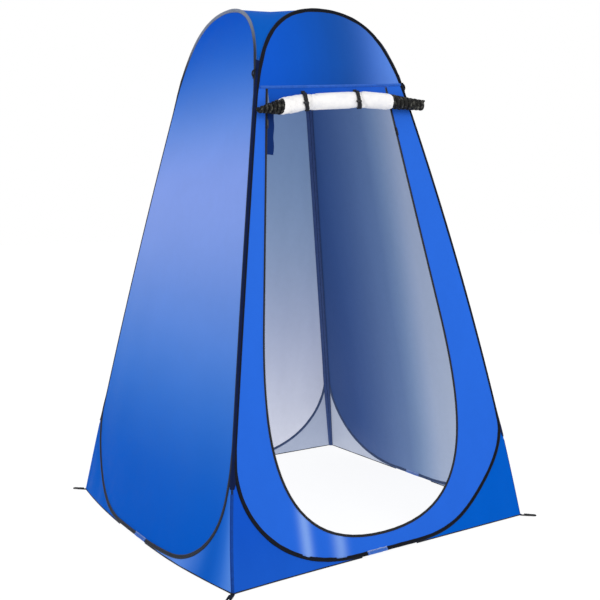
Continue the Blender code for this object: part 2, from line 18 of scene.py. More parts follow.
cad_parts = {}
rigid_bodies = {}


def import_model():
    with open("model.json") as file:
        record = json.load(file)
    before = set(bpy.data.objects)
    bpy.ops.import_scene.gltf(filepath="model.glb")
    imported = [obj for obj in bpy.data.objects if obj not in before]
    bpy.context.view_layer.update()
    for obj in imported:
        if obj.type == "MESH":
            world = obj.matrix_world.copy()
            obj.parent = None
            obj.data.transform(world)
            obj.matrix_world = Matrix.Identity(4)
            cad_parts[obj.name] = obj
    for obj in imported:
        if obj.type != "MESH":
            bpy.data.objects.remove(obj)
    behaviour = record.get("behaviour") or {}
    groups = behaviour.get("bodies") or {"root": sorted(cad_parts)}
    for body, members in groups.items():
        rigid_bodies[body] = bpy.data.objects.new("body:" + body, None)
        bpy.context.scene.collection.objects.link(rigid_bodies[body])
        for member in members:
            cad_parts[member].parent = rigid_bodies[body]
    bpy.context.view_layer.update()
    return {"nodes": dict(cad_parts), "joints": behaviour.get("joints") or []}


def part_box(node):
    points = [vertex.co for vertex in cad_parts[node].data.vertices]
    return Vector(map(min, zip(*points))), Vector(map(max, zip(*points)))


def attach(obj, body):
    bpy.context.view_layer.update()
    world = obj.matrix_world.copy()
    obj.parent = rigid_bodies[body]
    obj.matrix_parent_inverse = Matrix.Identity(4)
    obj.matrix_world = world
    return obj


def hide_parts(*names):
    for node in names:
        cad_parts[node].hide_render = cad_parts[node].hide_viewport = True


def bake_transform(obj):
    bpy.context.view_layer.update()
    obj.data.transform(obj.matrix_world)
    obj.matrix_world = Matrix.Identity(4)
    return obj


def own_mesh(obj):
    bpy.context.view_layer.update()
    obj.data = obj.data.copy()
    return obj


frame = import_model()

JOINTS = {joint["name"]: joint for joint in frame["joints"]}

# Driving dimensions, from the hinge line of the back right corner
HINGE = JOINTS["fold_flat"]
AXIS_HALF = HINGE["pos_m"][0]
LEAN = -HINGE["axis"][0] / HINGE["axis"][2]
SLOPE = math.hypot(1.0, LEAN)

# Hoops
PLANE_OFFSET = 0.0054
EDGE_AT_GROUND = AXIS_HALF + LEAN ** 2 * PLANE_OFFSET / SLOPE
EDGE_SLANT = LEAN / SLOPE
HOOP_INSET = PLANE_OFFSET * math.hypot(1.0, EDGE_SLANT)
TOP_Z = 1.895
BOTTOM_Z = 0.0085
FLAT_HALF = 0.12
BEND_Z = 0.37
SHOULDER_Z = 1.62
BEND_REACH = (0.36, 0.13)
SHOULDER_REACH = (0.20, 0.165)
WIRE_R = 0.0015
FERRULE_R = 0.0029
FERRULE_HALF = 0.014
BEAD_R = 0.0044             # the round edge of the binding, over the wire
BEAD_STRAIGHT = 0.0027      # where it is pulled tight along the straight corner seams
TAIL = 0.0097               # how far the binding laps over the cloth on the bends
TAIL_STRAIGHT = 0.0042      # and along the straight corner seams
TAIL_LAYERS = (0.0013, 0.0011)      # half thickness of the tail at its root and near its edge
TAIL_ROUND = 0.0005
TIGHT_FADE = 0.06           # from tight to loose, over this much on both sides of a bend's end
TOP_LIFT = {"front": -0.006, "right": 0.0, "back": 0.0, "left": 0.010}  # uneven stretch of the tops
LIFT_FROM = 1.5
CLOTH = 0.0012
SHEET_EDGE = 0.0020         # the cloth starts this far inside the hoop line, under the bead
SHARP_ANGLE = math.radians(50)
PATCH_X = {"front": -0.055, "right": 0.0, "back": 0.0, "left": 0.075}
PATCH_HALF = 0.042

# Spacing of points along the binding, round a sheet's edge, inside each sheet, along the tapes
BINDING_STEP = 0.011
EDGE_STEP = 0.014
PANEL_STEP = 0.020
BAND_STEP = 0.018
CAP_STEP = 0.016
GORE_STEP = 0.012
TAPE_STEP = 0.012

# How far each corner of the tent bows outward half way up
BOW_TOP = 1.75
CORNER_BOW = {"front_left": 0.011, "front_right": 0.022, "back_right": 0.002, "back_left": 0.010}

# Each hoop sits a little unevenly: its left and right bottom bends further out, its foot forward
BEND_SHIFT = {"front": (0.0, -0.040), "right": (0.0, 0.0), "back": (0.0, 0.0), "left": (0.0, 0.018)}
FOOT_BULGE = {"front": 0.0, "right": 0.0, "back": 0.0, "left": 0.050}
FOOT_TOP = 0.30
SINK_U = 0.33               # the left hoop's bend nearest the door lies this far along, and lower
SINK_WIDTH = 0.15
SINK_TOP = 0.30
SINK = 0.62

# The seams pull the straight stretches of neighbouring hoops together: along, and inward
PULL_ALONG = 0.0014
PULL_IN = 0.0024
PULL_WIDTH = 0.020

# The foot of the front left corner stands a little to the right, along the front
DRIFT_CORNER = "front_left"
DRIFT = np.array((0.017, -0.0106, 0.0))
DRIFT_TOP = 0.42

# Gores, and the tapes that cover a corner
GORE_GROUND = 0.0012
GORE_GAP = 0.0009           # from the corner line
GORE_END = (0.004, 0.0012)  # the curved edge ends this far above the ground and from that line
GORE_INSET = 0.0030         # from the hoop line
HEM_Z = 0.0018              # middle of the hem above the gore's lower edge
BAND_LOW = 0.066            # the outer band runs from this far below the bends
BAND_HIGH = 0.060           # to this far above the start of the shoulders
SEAM_LOW = 0.080            # the crease of the gores ends this far below the bends
# Sections of its strips, from the cloth to the corner line: distance from that line, and height
TAPE_SECTION = ((0.0200, -0.0030), (0.0130, -0.0056), (0.0080, -0.0085), (0.0, -0.0105))
CREASE_SECTION = ((0.0017, 0.0007), (0.0009, 0.0010), (0.0, 0.0012))
STRIP_CLOTH = 0.0012
CREASE_CLOTH = 0.0010
ROOF_SAG = 0.010

# Door
DOOR_X = -0.02
SILL_Z = 0.063
SILL_FOLDS = (-0.335, -0.205)       # two upright folds in the band beside the sill
FOLD_HALF = 0.022
DOOR_BEND_Z = 0.80
DOOR_BEND_HALF = 0.382
DOOR_TAPER = 0.148
DOOR_REACH = (0.42, 0.42)
HEADER_V = 1.61 * SLOPE
HEADER_TILT = math.radians(5.2)
HEADER_TAPE = 0.010
HEADER_END = 0.006          # from the hoop to the tape's end
HEADER_ROWS = 0.003         # half the distance between its stitch rows
ZIP_WIDTH = 0.007
TOOTH_STEP = 0.0030
TOOTH = np.array((0.0009, 0.0016, 0.0012))
HARD_BEVEL = 0.0004
ZIP_THREAD = 0.0035         # from the edge of the opening to the stitches
FLAP_WIDTH = 0.046
FLAP_LAP = 0.010            # how far it reaches behind the band
FLAP_BEHIND = 0.0018
FLAP_CURL = 0.004
FLAP_WAVE = (0.0015, 90.0)          # height, and radians to a metre
STRIP_WAVE = (0.0016, 46.0)
STRIP_FORWARD = 0.0035
ROLL_R = 0.030
ROLL_DROP = 0.054
ROLL_TILT = math.radians(5.0)
ROLL_WHITE = (-0.262, 0.226)
ROLL_ENDS = (-0.350, 0.374)
ROLL_LAP = 0.0016           # the free edge of the cloth stands on the turn below
ROLL_LAP_TURN = 1.9         # where that edge lies, as an angle round the roll
ROLL_SHARE = 0.965          # radius of the white cloth as a share of the CAD roll's
ROLL_STRAIGHT = 0.20        # beyond this far from the middle the roll stands forward
ROLL_FORWARD = 0.16
ROLL_GRIP = 0.004           # how much of each end its tape holds still
TIE_PINCH = (0.0022, 0.014)         # depth and half width
END_PINCH = (0.0030, 0.012)
PUFF = {"vertex_group_mass": "held", "use_pressure": True, "uniform_pressure_force": 5.0,
        "shrink_min": -0.035, "tension_stiffness": 20.0, "bending_stiffness": 0.3}
PUFF_LIMIT = 0.0040
PUFF_FRAMES = 20
RIB_R = 0.0050
COIL_STEPS = 26             # points to a turn
COIL_START = 0.6
COIL_WANDER = 0.0012
COIL_WIDTH = 0.46           # half width of a rib, as a share of its pitch
CORE_SHARE = 0.97
TIE_X = (-0.172, 0.056)
TIE_WIDTH = 0.016
TIE_R = 0.0313
TIE_SKEW = 0.60             # a strap leans to the left by this share of how far forward it is
TIE_SHIFT = 0.021
TIE_TURN = (128.0, -168.0)          # the strap's first and last angle round the roll, in degrees
TIE_TAB = (0.020, 0.047)            # the tab's ends, above the roll's middle
TIE_TAB_BACK = 0.004                # and in front of the roll's back
ROLL_LINE = ((-0.330, -0.030), (-0.242, -0.0205), (-0.136, -0.006), (0.092, -0.003),
             (0.246, -0.014), (0.394, -0.034))    # x on the roll, and how far its middle sags there
ROLL_EASE = 0.010

# Corner loops
PEG_LENGTH = 0.046
PEG_HALF = 0.0052
PEG_LIFT = 0.0012
PEG_SEWN = 0.020            # length of the pad that closes the loop
PEG_ROOT = 0.0145           # from the loop back to the cloth
PEG_SUNK = 0.0019           # the root lies this far below the loop's middle
PEG_THREAD = 0.0026         # height of the stitches over the loop's middle
PEG_ROWS = 0.006            # half the distance between its stitch rows
GUY_HALF = np.array((0.0115, 0.0080))
GUY_CORD = (0.0024, 0.0034)
GUY_TAB_HALF = 0.0175

# Flat tapes and straps: width, thickness, and steps round each edge
RIBBONS = {
    "hem": (0.0046, 0.0026, 2), "header": (HEADER_TAPE, 0.0022, 3), "zip": (ZIP_WIDTH + 0.002, 0.0018, 2),
    "tie_strap": (TIE_WIDTH, 0.0018, 3), "tie_tab": (TIE_WIDTH, 0.0020, 3),
    "peg_webbing": (0.0072, 0.0040, 3), "peg_pad": (0.0180, 0.0050, 3),
    "peg_root": (0.0150, 0.0010, 3), "guy_tab": (0.0085, 0.0016, 2)}

# Relief of the cloth: height, and the rim over which it rises
BILLOW = (0.012, 0.22)
SHEET_FOLDS = (0.004, 0.06)
SEAM_PUCKERS = (0.0028, 0.02)
PUCKER_FADE = 0.06
SILL_FOLD = 0.004
SILL_FOLD_TOP = 0.30
BAND_RIPPLE = (0.002, 0.02)
CAP_BILLOW = (0.007, 0.10)
CAP_RIPPLE = (0.003, 0.03)
GORE_WAVES = (0.0022, 0.03)
GORE_WAVE_RATE = 38.0

# Stitches
STITCH = 0.0058             # from one stitch to the next
STITCH_LENGTH = 0.0038
THREAD_R = 0.00042
BINDING_ROW = (0.0012, 0.0014)      # in from the tail's edge, and out from the cloth's middle
PATCH_SEAM = 0.005                  # from the patch's ends to its short rows
PATCH_ROW = (0.0095, 0.0022)        # the long row: above the wire, and outward
PATCH_SHORT_ROWS = (0.0105, -0.001, 0.0060)     # their upper and lower ends, and outward

SIDES = ("front", "right", "back", "left")
SIDE_CORNERS = {"front": ("front_left", "front_right"), "right": ("front_right", "back_right"),
                "back": ("back_right", "back_left"), "left": ("back_left", "front_left")}
CORNERS = {  # corner: (side whose right edge it is, side whose left edge it is)
    "front_right": ("front", "right"), "back_right": ("right", "back"),
    "back_left": ("back", "left"), "front_left": ("left", "front")}


# ---------------------------------------------------------------- numbers and paths

def clamp(x):
    return np.clip(x, 0.0, 1.0)


def ease(t):
    """From 0 to 1 with level ends."""
    t = clamp(t)
    return t * t * (3.0 - 2.0 * t)


def unit(rows):
    return rows / np.linalg.norm(rows, axis=1)[:, None]


def run_along(points):
    """Distance walked at each point of a path."""
    return np.concatenate(([0.0], np.cumsum(np.linalg.norm(np.diff(points, axis=0), axis=1))))


def tangents(points, closed=False):
    if closed:
        return unit(np.roll(points, -1, 0) - np.roll(points, 1, 0))
    return unit(np.gradient(points, axis=0))


def offset(path, distance, closed=False):
    """The path moved to its left by distance."""
    ahead = tangents(path, closed)
    return path + np.column_stack((-ahead[:, 1], ahead[:, 0])) * distance


def resample(path, spacing, closed=False):
    """Evenly spaced points along a path, its ends kept."""
    whole = np.vstack((path, path[:1])) if closed else path
    run = run_along(whole)
    marks = np.linspace(0.0, run[-1], max(2, int(round(run[-1] / spacing))) + 1)
    if closed:
        marks = marks[:-1]
    return np.column_stack([np.interp(marks, run, column) for column in whole.T])


def bezier(p0, p1, p2, p3, steps):
    t = np.linspace(0.0, 1.0, steps + 1)[:, None]
    s = 1.0 - t
    p0, p1, p2, p3 = (np.array(p, float) for p in (p0, p1, p2, p3))
    return p0 * s ** 3 + p1 * 3 * s * s * t + p2 * 3 * s * t * t + p3 * t ** 3


def level_path(xs, height):
    return np.column_stack((xs, np.full(len(xs), height)))


def ripple(u, v, u_rate, v_rate, seed, start=0.0):
    """Smooth noise over a side, with its own rate along and up."""
    return np.array([noise.noise(Vector((a * u_rate + start, b * v_rate, seed))) for a, b in zip(u, v)])


def pucker(points, size, rate):
    """A small uneven swelling along a path, the same on every run."""
    return np.array([1.0 + size * noise.noise(Vector(p) * rate) for p in points])


# ---------------------------------------------------------------- places on a side

def turn_to(side):
    return Matrix.Rotation(SIDES.index(side) * math.pi / 2, 3, "Z")


def side_axes(side):
    """Start point, along, up and outward directions of a side."""
    start = Vector((0.0, -(AXIS_HALF + PLANE_OFFSET * SLOPE), 0.0))
    along = Vector((1.0, 0.0, 0.0))
    up = Vector((0.0, LEAN, 1.0)) / SLOPE
    out = Vector((0.0, -1.0, LEAN)) / SLOPE
    return tuple(np.array(turn_to(side) @ x) for x in (start, along, up, out))


AXES = {side: side_axes(side) for side in SIDES}
OUT = {side: axes[3] for side, axes in AXES.items()}


def edge_u(v):
    return EDGE_AT_GROUND - v * EDGE_SLANT


def hoop_half(steps=26):
    """Right half of a hoop's centre line, from the bottom middle to the top middle."""
    slant = np.array((-EDGE_SLANT, 1.0))
    low = np.array((FLAT_HALF, BOTTOM_Z * SLOPE))
    bend, shoulder = (np.array((edge_u(z * SLOPE) - HOOP_INSET, z * SLOPE)) for z in (BEND_Z, SHOULDER_Z))
    top = np.array((0.0, TOP_Z * SLOPE))
    bottom = bezier(low, low + (BEND_REACH[0], 0), bend - slant * BEND_REACH[1], bend, steps)
    straight = bend + (shoulder - bend) * np.linspace(0.0, 1.0, 3 * steps)[1:-1, None]
    crown = bezier(shoulder, shoulder + slant * SHOULDER_REACH[0],
                   top + (SHOULDER_REACH[1], 0), top, steps)
    return np.vstack((bottom, straight, crown))


def door_half(steps=26):
    """Right half of the door opening about its own middle, from the sill up past the header."""
    taper = np.array((-DOOR_TAPER / SLOPE, 1.0))
    sill = np.array((0.0, SILL_Z * SLOPE))
    bend = np.array((DOOR_BEND_HALF, DOOR_BEND_Z * SLOPE))
    curve = bezier(sill, sill + (DOOR_REACH[0], 0), bend - taper * DOOR_REACH[1], bend, steps)
    rise = HEADER_V + DOOR_BEND_HALF * math.tan(HEADER_TILT) - bend[1]
    return np.vstack((curve, bend + taper * rise * np.linspace(0, 1, 2 * steps)[1:, None]))


HOOP_HALF = hoop_half()
DOOR_HALF = door_half()


def hoop_loop(spacing):
    """The whole centre line, anticlockwise seen from outside, from the bottom middle."""
    start = level_path(np.linspace(0.0, FLAT_HALF, 8)[:-1], HOOP_HALF[0, 1])
    right = np.vstack((start, HOOP_HALF))
    left = right[1:-1][::-1] * (-1.0, 1.0)
    return resample(np.vstack((right, left)), spacing, closed=True)


def hoop_at(v):
    """Half width of the hoop at a height."""
    return np.interp(v, HOOP_HALF[:, 1], HOOP_HALF[:, 0])


def door_at(v):
    """Half width of the opening at a height."""
    return np.interp(v, DOOR_HALF[:, 1], DOOR_HALF[:, 0])


def header_v(u):
    return HEADER_V + u * math.tan(HEADER_TILT)


def cut_at_header(path, below):
    """The stretch of a path on one side of the header seam, with its two crossing points."""
    gap = (path[:, 1] - header_v(path[:, 0])) * (1 if below else -1)
    inside_rows = np.flatnonzero(gap < 0)
    first, last = inside_rows[0], inside_rows[-1]

    def cross(i, j):
        return path[i] + (path[j] - path[i]) * gap[i] / (gap[i] - gap[j])

    return np.vstack((cross(first, first - 1), path[first:last + 1], cross(last, (last + 1) % len(path))))


def door_edge(inset=0.0):
    """The opening's edge from the header at the left, round the sill, to the header again."""
    left = (DOOR_HALF[1:] * (-1.0, 1.0))[::-1]
    return cut_at_header(offset(np.vstack((left, DOOR_HALF)) + (DOOR_X, 0.0), inset), True)


def top_share(height):
    """0 below LIFT_FROM and 1 at the hoop tops."""
    return ease((height - LIFT_FROM) / (TOP_Z - LIFT_FROM))


def bow_share(v):
    t = clamp(v / SLOPE / BOW_TOP)
    return 4.0 * t * (1.0 - t)


def band_share(u, v):
    """0 at the edge of the door opening and 1 at the hoop, so that the zip stays straight."""
    reach = hoop_at(v) - np.sign(u - DOOR_X) * DOOR_X
    inner = np.minimum(door_at(v), 0.8 * reach)
    return clamp((np.abs(u - DOOR_X) - inner) / np.maximum(reach - inner, 0.001))


def bend_share(side, u, v):
    """1 on a hoop's bottom bend, 0 at the ground, the straight stretch and the corner seam."""
    hoop, edge = hoop_at(v), edge_u(v)
    within = band_share(u, v) if side == "front" else np.abs(u) / np.maximum(hoop, 0.001)
    beyond = clamp((edge - np.abs(u)) / np.maximum(edge - hoop, 0.001))
    height = clamp(v / SLOPE / BEND_Z)
    return np.where(np.abs(u) > hoop, beyond, within) * np.sin(math.pi * height ** 0.6) ** 2


def sink_factor(u, v):
    """Lowers the left hoop's bottom bend beside the door, and leaves the ground line alone."""
    near = np.exp(-((u - SINK_U) / SINK_WIDTH) ** 2)
    return 1.0 - SINK * near * clamp(1.0 - v / SLOPE / SINK_TOP)


def tight_share(v):
    """1 along the corner seams, where the binding is pulled tight, 0 on the bends and the crown."""
    above = v - BEND_Z * SLOPE + TIGHT_FADE
    below = SHOULDER_Z * SLOPE + TIGHT_FADE - v
    return clamp(above / (2 * TIGHT_FADE)) * clamp(below / (2 * TIGHT_FADE))


def seam_share(u, v):
    """1 on a tight stretch and beyond it, fading into the cloth."""
    return tight_share(v) * np.exp(-(np.maximum(hoop_at(v) - np.abs(u), 0.0) / PULL_WIDTH) ** 2)


def foot_share(u, v):
    """1 at the ground in the middle of a side, 0 at its corners and above its bottom bends."""
    return clamp(1.0 - v / SLOPE / FOOT_TOP) ** 2 * clamp(1.0 - (u / edge_u(v)) ** 2)


def place(side, uv, w=0.0):
    """World points of (u, v) pairs on a side, bowed as the hoops bow."""
    start, along, up, out = AXES[side]
    corners = SIDE_CORNERS[side]
    u, v = np.atleast_2d(uv).T
    tight = seam_share(u, v)
    if side == "left":
        v = v * sink_factor(u, v)
    v = v + TOP_LIFT[side] * top_share(v / SLOPE)
    low, high = (CORNER_BOW[corner] for corner in corners)
    across = np.clip(u / edge_u(v), -1.0, 1.0)
    share = bow_share(v)
    if side == "front":
        share = share * band_share(u, v)
    left_bend, right_bend = BEND_SHIFT[side]
    shift = np.where(across < 0, low, high) * across * share
    shift += np.where(u < 0, -left_bend, right_bend) * bend_share(side, u, v)
    shift += PULL_ALONG * np.sign(u) * tight
    bulge = (low + (high - low) * (across + 1) / 2) * share + w - PULL_IN * tight
    bulge = bulge + FOOT_BULGE[side] * foot_share(u, v)
    placed = start + np.outer(u + shift, along) + np.outer(v, up) + np.outer(bulge, out)
    if DRIFT_CORNER in corners:
        toward = -across if corners[0] == DRIFT_CORNER else across
        placed += np.outer(clamp(toward) ** 3 * clamp(1.0 - v / SLOPE / DRIFT_TOP) ** 2, DRIFT)
    return placed


# ---------------------------------------------------------------- meshes

def add_object(name, data):
    made = bpy.data.objects.new(name, data)
    bpy.context.scene.collection.objects.link(made)
    return made


def add_piece(name, body, points, faces, looks, uvs, kinds=None, node=None):
    """A mesh object that rides on a body, if one is given, and replaces a node, if one is given.
    kinds holds each face's place in looks, a list of names in LOOKS."""
    mesh = bpy.data.meshes.new(name)
    mesh.from_pydata([tuple(p) for p in points], [], [tuple(f) for f in faces])
    layer = mesh.uv_layers.new(name="metres")
    loops = np.zeros(len(mesh.loops), np.int32)
    mesh.loops.foreach_get("vertex_index", loops)
    layer.data.foreach_set("uv", np.asarray(uvs, np.float32)[loops].ravel())
    for look in looks:
        mesh.materials.append(LOOKS[look])
    if kinds is not None:
        kinds = np.minimum(kinds, len(looks) - 1).astype(np.int32)
        mesh.polygons.foreach_set("material_index", kinds)
    work = bmesh.new()
    work.from_mesh(mesh)
    bmesh.ops.recalc_face_normals(work, faces=work.faces)
    work.to_mesh(mesh)
    work.free()
    mesh.polygons.foreach_set("use_smooth", np.ones(len(mesh.polygons), bool))
    mesh.set_sharp_from_angle(angle=SHARP_ANGLE)
    mesh.update()
    piece = add_object(name, mesh)
    if body is not None:
        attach(piece, body)
    if node is not None:
        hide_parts(node)
    return piece


def inside(points, loop):
    """Which points lie inside a closed 2D loop."""
    x, y = points[:, 0][:, None], points[:, 1][:, None]
    x0, y0 = loop.T
    x1, y1 = np.roll(x0, -1), np.roll(y0, -1)
    crosses = (y0 > y) != (y1 > y)
    rise = np.where(y1 == y0, 1e-12, y1 - y0)
    return (crosses & (x < (x1 - x0) * (y - y0) / rise + x0)).sum(1) % 2 == 1


def distance_to(points, loop):
    """Distance from each point to the nearest corner of a densely sampled loop."""
    best = np.full(len(points), np.inf)
    for corner in loop:
        best = np.minimum(best, np.hypot(*(points - corner).T))
    return best


def fill(outline, spacing):
    """Triangles that fill an outline, with evenly spread inner points."""
    low, high = outline.min(0), outline.max(0)
    rows = np.arange(low[1], high[1], spacing * math.sqrt(3) / 2)
    grid = np.array([(x + (i % 2) * spacing / 2, y) for i, y in enumerate(rows)
                     for x in np.arange(low[0], high[0], spacing)])
    keep = inside(grid, outline) & (distance_to(grid, outline) > spacing * 0.6)
    corners = [Vector(p) for p in np.vstack((outline, grid[keep]))]
    edges = [(i, (i + 1) % len(outline)) for i in range(len(outline))]
    points, _, faces, _, _, _ = geometry.delaunay_2d_cdt(corners, edges, [], 0, 1e-7)
    points, faces = np.array([tuple(p) for p in points]), np.array(faces)
    return points, faces[inside(points[faces].mean(1), outline)]


def shell(points, faces, normals, thickness):
    """A closed sheet: outer layer, inner layer and rim. Returns points, faces, kinds."""
    count = len(points)
    layers = np.vstack((points + normals * thickness / 2, points - normals * thickness / 2))
    directed = {(f[i], f[(i + 1) % len(f)]) for f in faces for i in range(len(f))}
    rim = sorted((b, a, a + count, b + count) for a, b in directed if (b, a) not in directed)
    back = [tuple(i + count for i in reversed(f)) for f in faces]
    kinds = [0] * len(faces) + [1] * len(back) + [0] * len(rim)
    return layers, [tuple(f) for f in faces] + back + rim, kinds


def cloth_sheet(name, side, node, outline, spacing, looks, relief):
    """A sheet in a side's plane. relief(u, v, rim) adds outward height, rim is edge distance."""
    flat, faces = fill(outline, spacing)
    height = relief(flat[:, 0], flat[:, 1], distance_to(flat, outline))
    layers, everything, kinds = shell(place(side, flat, height), faces, OUT[side], CLOTH)
    add_piece(name, side, layers, everything, looks, np.vstack((flat, flat)), kinds, node)


def grid_faces(rows, columns):
    """Quads between points that are listed row by row."""
    return [(i * columns + k, i * columns + k + 1, (i + 1) * columns + k + 1, (i + 1) * columns + k)
            for i in range(rows - 1) for k in range(columns - 1)]


def grid_sheet(name, body, points, shape, out, thickness, looks, uvs, node=None):
    """A closed sheet over a grid of points with a (rows, columns) shape."""
    layers, everything, kinds = shell(points, grid_faces(*shape), out, thickness)
    return add_piece(name, body, layers, everything, looks, np.vstack((uvs, uvs)), kinds, node)


def tube_faces(count, sides, closed=False):
    """Quads between rings of points, and two end caps unless closed."""
    faces = [(i * sides + a, i * sides + (a + 1) % sides, (i + 1) % count * sides + (a + 1) % sides,
              (i + 1) % count * sides + a)
             for i in range(count if closed else count - 1) for a in range(sides)]
    if not closed:
        faces += [tuple(reversed(range(sides))), tuple(range((count - 1) * sides, count * sides))]
    return faces


def sweep(name, body, centres, normals, profile, look, slot, node=None, scale=1.0, closed=False,
          inner=None):
    """A profile of (across, normal) pairs carried along centres, with across to their right.
    inner holds a second look and which faces of the profile have it."""
    profile = np.asarray(profile, float)
    count, sides = len(centres), profile.shape[-2]
    normals = np.broadcast_to(normals, centres.shape)
    across = unit(np.cross(tangents(centres, closed), normals))
    sections = np.broadcast_to(profile, (count, sides, 2)) * np.broadcast_to(scale, count)[:, None, None]
    rings = (centres[:, None, :] + across[:, None, :] * sections[:, :, 0:1]
             + normals[:, None, :] * sections[:, :, 1:2])
    uvs = np.column_stack((np.repeat(run_along(centres), sides), np.tile(run_along(sections[0]), count)))
    faces = tube_faces(count, sides, closed)
    looks, kinds = [look], None
    if inner is not None:
        looks = [look, inner[0]]
        kinds = np.tile(inner[1], count)
    add_piece(name, body, rings.reshape(-1, 3), faces, looks, uvs, kinds, node)


def side_sweep(name, side, path, profile, look, slot, w=0.0, **more):
    """A sweep along a (u, v) path of a side, riding on that side."""
    sweep(name, side, place(side, path, w), OUT[side], profile, look, slot, **more)


def circle(radius, sides=10):
    angles = np.arange(sides) * 2 * math.pi / sides
    return np.column_stack((np.cos(angles), np.sin(angles))) * radius


def ribbon(kind):
    """The flat section of a tape or strap, with softly rounded edges."""
    width, thickness, round_steps = RIBBONS[kind]
    half, t = width / 2 - thickness / 2, thickness / 2
    angles = np.linspace(-math.pi / 2, math.pi / 2, round_steps * 2 + 1)
    right = np.column_stack((half + np.cos(angles) * t, np.sin(angles) * t))
    return np.vstack((right, right * -1.0))


def add_stitches(name, rows, look, body):
    """Short raised threads along rows of (points, normal) in the world."""
    points, faces = [], []
    half = STITCH_LENGTH / 2
    for row, normal in rows:
        row = resample(np.asarray(row, float), STITCH)
        ahead = tangents(row)
        for spot, t, s in zip(row, ahead, np.cross(ahead, normal)):
            base = len(points)
            points.append(spot - t * half)
            for share in (-0.6, 0.6):
                for across, height in ((1, 0), (0, 1), (-1, 0), (0, -1)):
                    points.append(spot + t * half * share + (s * across + normal * height) * THREAD_R)
            points.append(spot + t * half)
            for k in range(4):
                n = (k + 1) % 4
                faces += [(base, base + 1 + n, base + 1 + k),
                          (base + 1 + k, base + 1 + n, base + 5 + n, base + 5 + k),
                          (base + 5 + k, base + 5 + n, base + 9)]
    add_piece(name, body, points, faces, [look], np.array(points)[:, :2])


# ---------------------------------------------------------------- materials

def colour(code):
    """Linear colour of a six-figure hex code."""
    parts = [int(code[i:i + 2], 16) / 255 for i in (0, 2, 4)]
    return tuple(c / 12.92 if c <= 0.04045 else ((c + 0.055) / 1.055) ** 2.4 for c in parts) + (1.0,)


class Look:
    """A node material that grows from its Principled shader."""

    def __init__(self, name, roughness, specular, metallic=0.0):
        self.material = bpy.data.materials.new(name)
        self.material.use_nodes = True
        self.tree = self.material.node_tree
        self.shader = self.tree.nodes["Principled BSDF"]
        self.set("Roughness", roughness)
        self.set("Specular IOR Level", specular)
        self.set("Metallic", metallic)
        place_node = self.tree.nodes.new("ShaderNodeTexCoord")
        self.object_place = place_node.outputs["Object"]
        split = self.tree.nodes.new("ShaderNodeSeparateXYZ")
        self.tree.links.new(place_node.outputs["UV"], split.inputs[0])
        self.u, self.v = split.outputs[0], split.outputs[1]
        self.normal = None

    def feed(self, socket, value):
        if isinstance(value, bpy.types.NodeSocket):
            self.tree.links.new(value, socket)
        else:
            socket.default_value = value

    def set(self, name, value):
        self.feed(self.shader.inputs[name], value)

    def add(self, kind, inputs=None, **settings):
        made = self.tree.nodes.new(kind)
        for key, value in settings.items():
            setattr(made, key, value)
        for key, value in (inputs or {}).items():
            self.feed(made.inputs[key], value)
        return made

    def math(self, operation, a, b=0.0):
        return self.add("ShaderNodeMath", {0: a, 1: b}, operation=operation).outputs[0]

    def times_plus(self, value, factor, addend):
        return self.math("ADD", self.math("MULTIPLY", value, factor), addend)

    def ribs(self, pitch, strength, distance):
        """Fine ribs across the piece, as bump. Returns their height."""
        height = self.math("SINE", self.math("MULTIPLY", self.u, 2 * math.pi / pitch))
        self.bump(height, strength, distance)
        return height

    def mix(self, share, a, b):
        return self.add("ShaderNodeMix", {0: share, 6: a, 7: b}, data_type="RGBA").outputs[2]

    def fade(self, value, low, high, start, end, kind="SMOOTHSTEP"):
        """start where value is below low, end where it is above high."""
        return self.add("ShaderNodeMapRange", {0: value, 1: low, 2: high, 3: start, 4: end},
                        interpolation_type=kind).outputs[0]

    def noise(self, scale, stretch=(1.0, 1.0, 1.0), detail=3.0):
        """Noise in object space, stretched by an extra scale along each axis."""
        spread = self.add("ShaderNodeMapping", {"Vector": self.object_place, "Scale": stretch})
        made = self.add("ShaderNodeTexNoise", {"Vector": spread.outputs[0], "Scale": scale,
                                               "Detail": detail, "Roughness": 0.55})
        return made.outputs["Fac"]

    def ramp(self, axis, stops):
        """Colours at places in metres along u or v."""
        low, high = stops[0][0], stops[-1][0]
        value = self.u if axis == "u" else self.v
        made = self.add("ShaderNodeValToRGB", {0: self.fade(value, low, high, 0.0, 1.0, "LINEAR")})
        made.color_ramp.interpolation = "EASE" if len(stops) < 3 else "B_SPLINE"
        elements = made.color_ramp.elements
        while len(elements) < len(stops):
            elements.new(0.5)
        for element, (spot, code) in zip(elements, stops):
            element.position = (spot - low) / (high - low)
            element.color = colour(code)
        return made.outputs[0]

    def weave(self, strength):
        """A plain weave in UV metres, as bump."""
        warp, weft = (self.math("SINE", self.math("MULTIPLY", way, math.pi / THREAD_PITCH))
                      for way in (self.u, self.v))
        self.bump(self.math("MULTIPLY", warp, weft), strength, 0.0002)

    def bump(self, height, strength, distance):
        inputs = {"Height": height, "Strength": strength, "Distance": distance}
        if self.normal is not None:
            inputs["Normal"] = self.normal
        self.normal = self.add("ShaderNodeBump", inputs).outputs[0]

    def tone(self, base, *parts, level=1.0):
        """base at a level, its brightness moved by (height, amount) pairs, each height about 0.5."""
        value = level
        for height, amount in parts:
            value = self.times_plus(self.math("SUBTRACT", height, 0.5), amount, value)
        return self.add("ShaderNodeHueSaturation", {"Value": value, "Color": base}).outputs[0]

    def done(self, base):
        self.set("Base Color", base)
        if self.normal is not None:
            self.set("Normal", self.normal)
        return self.material


THREAD_PITCH = 0.0011
LINING_GLOW = 0.5           # painted glow for the daylight through the cloth, as a share of the lining's own colour
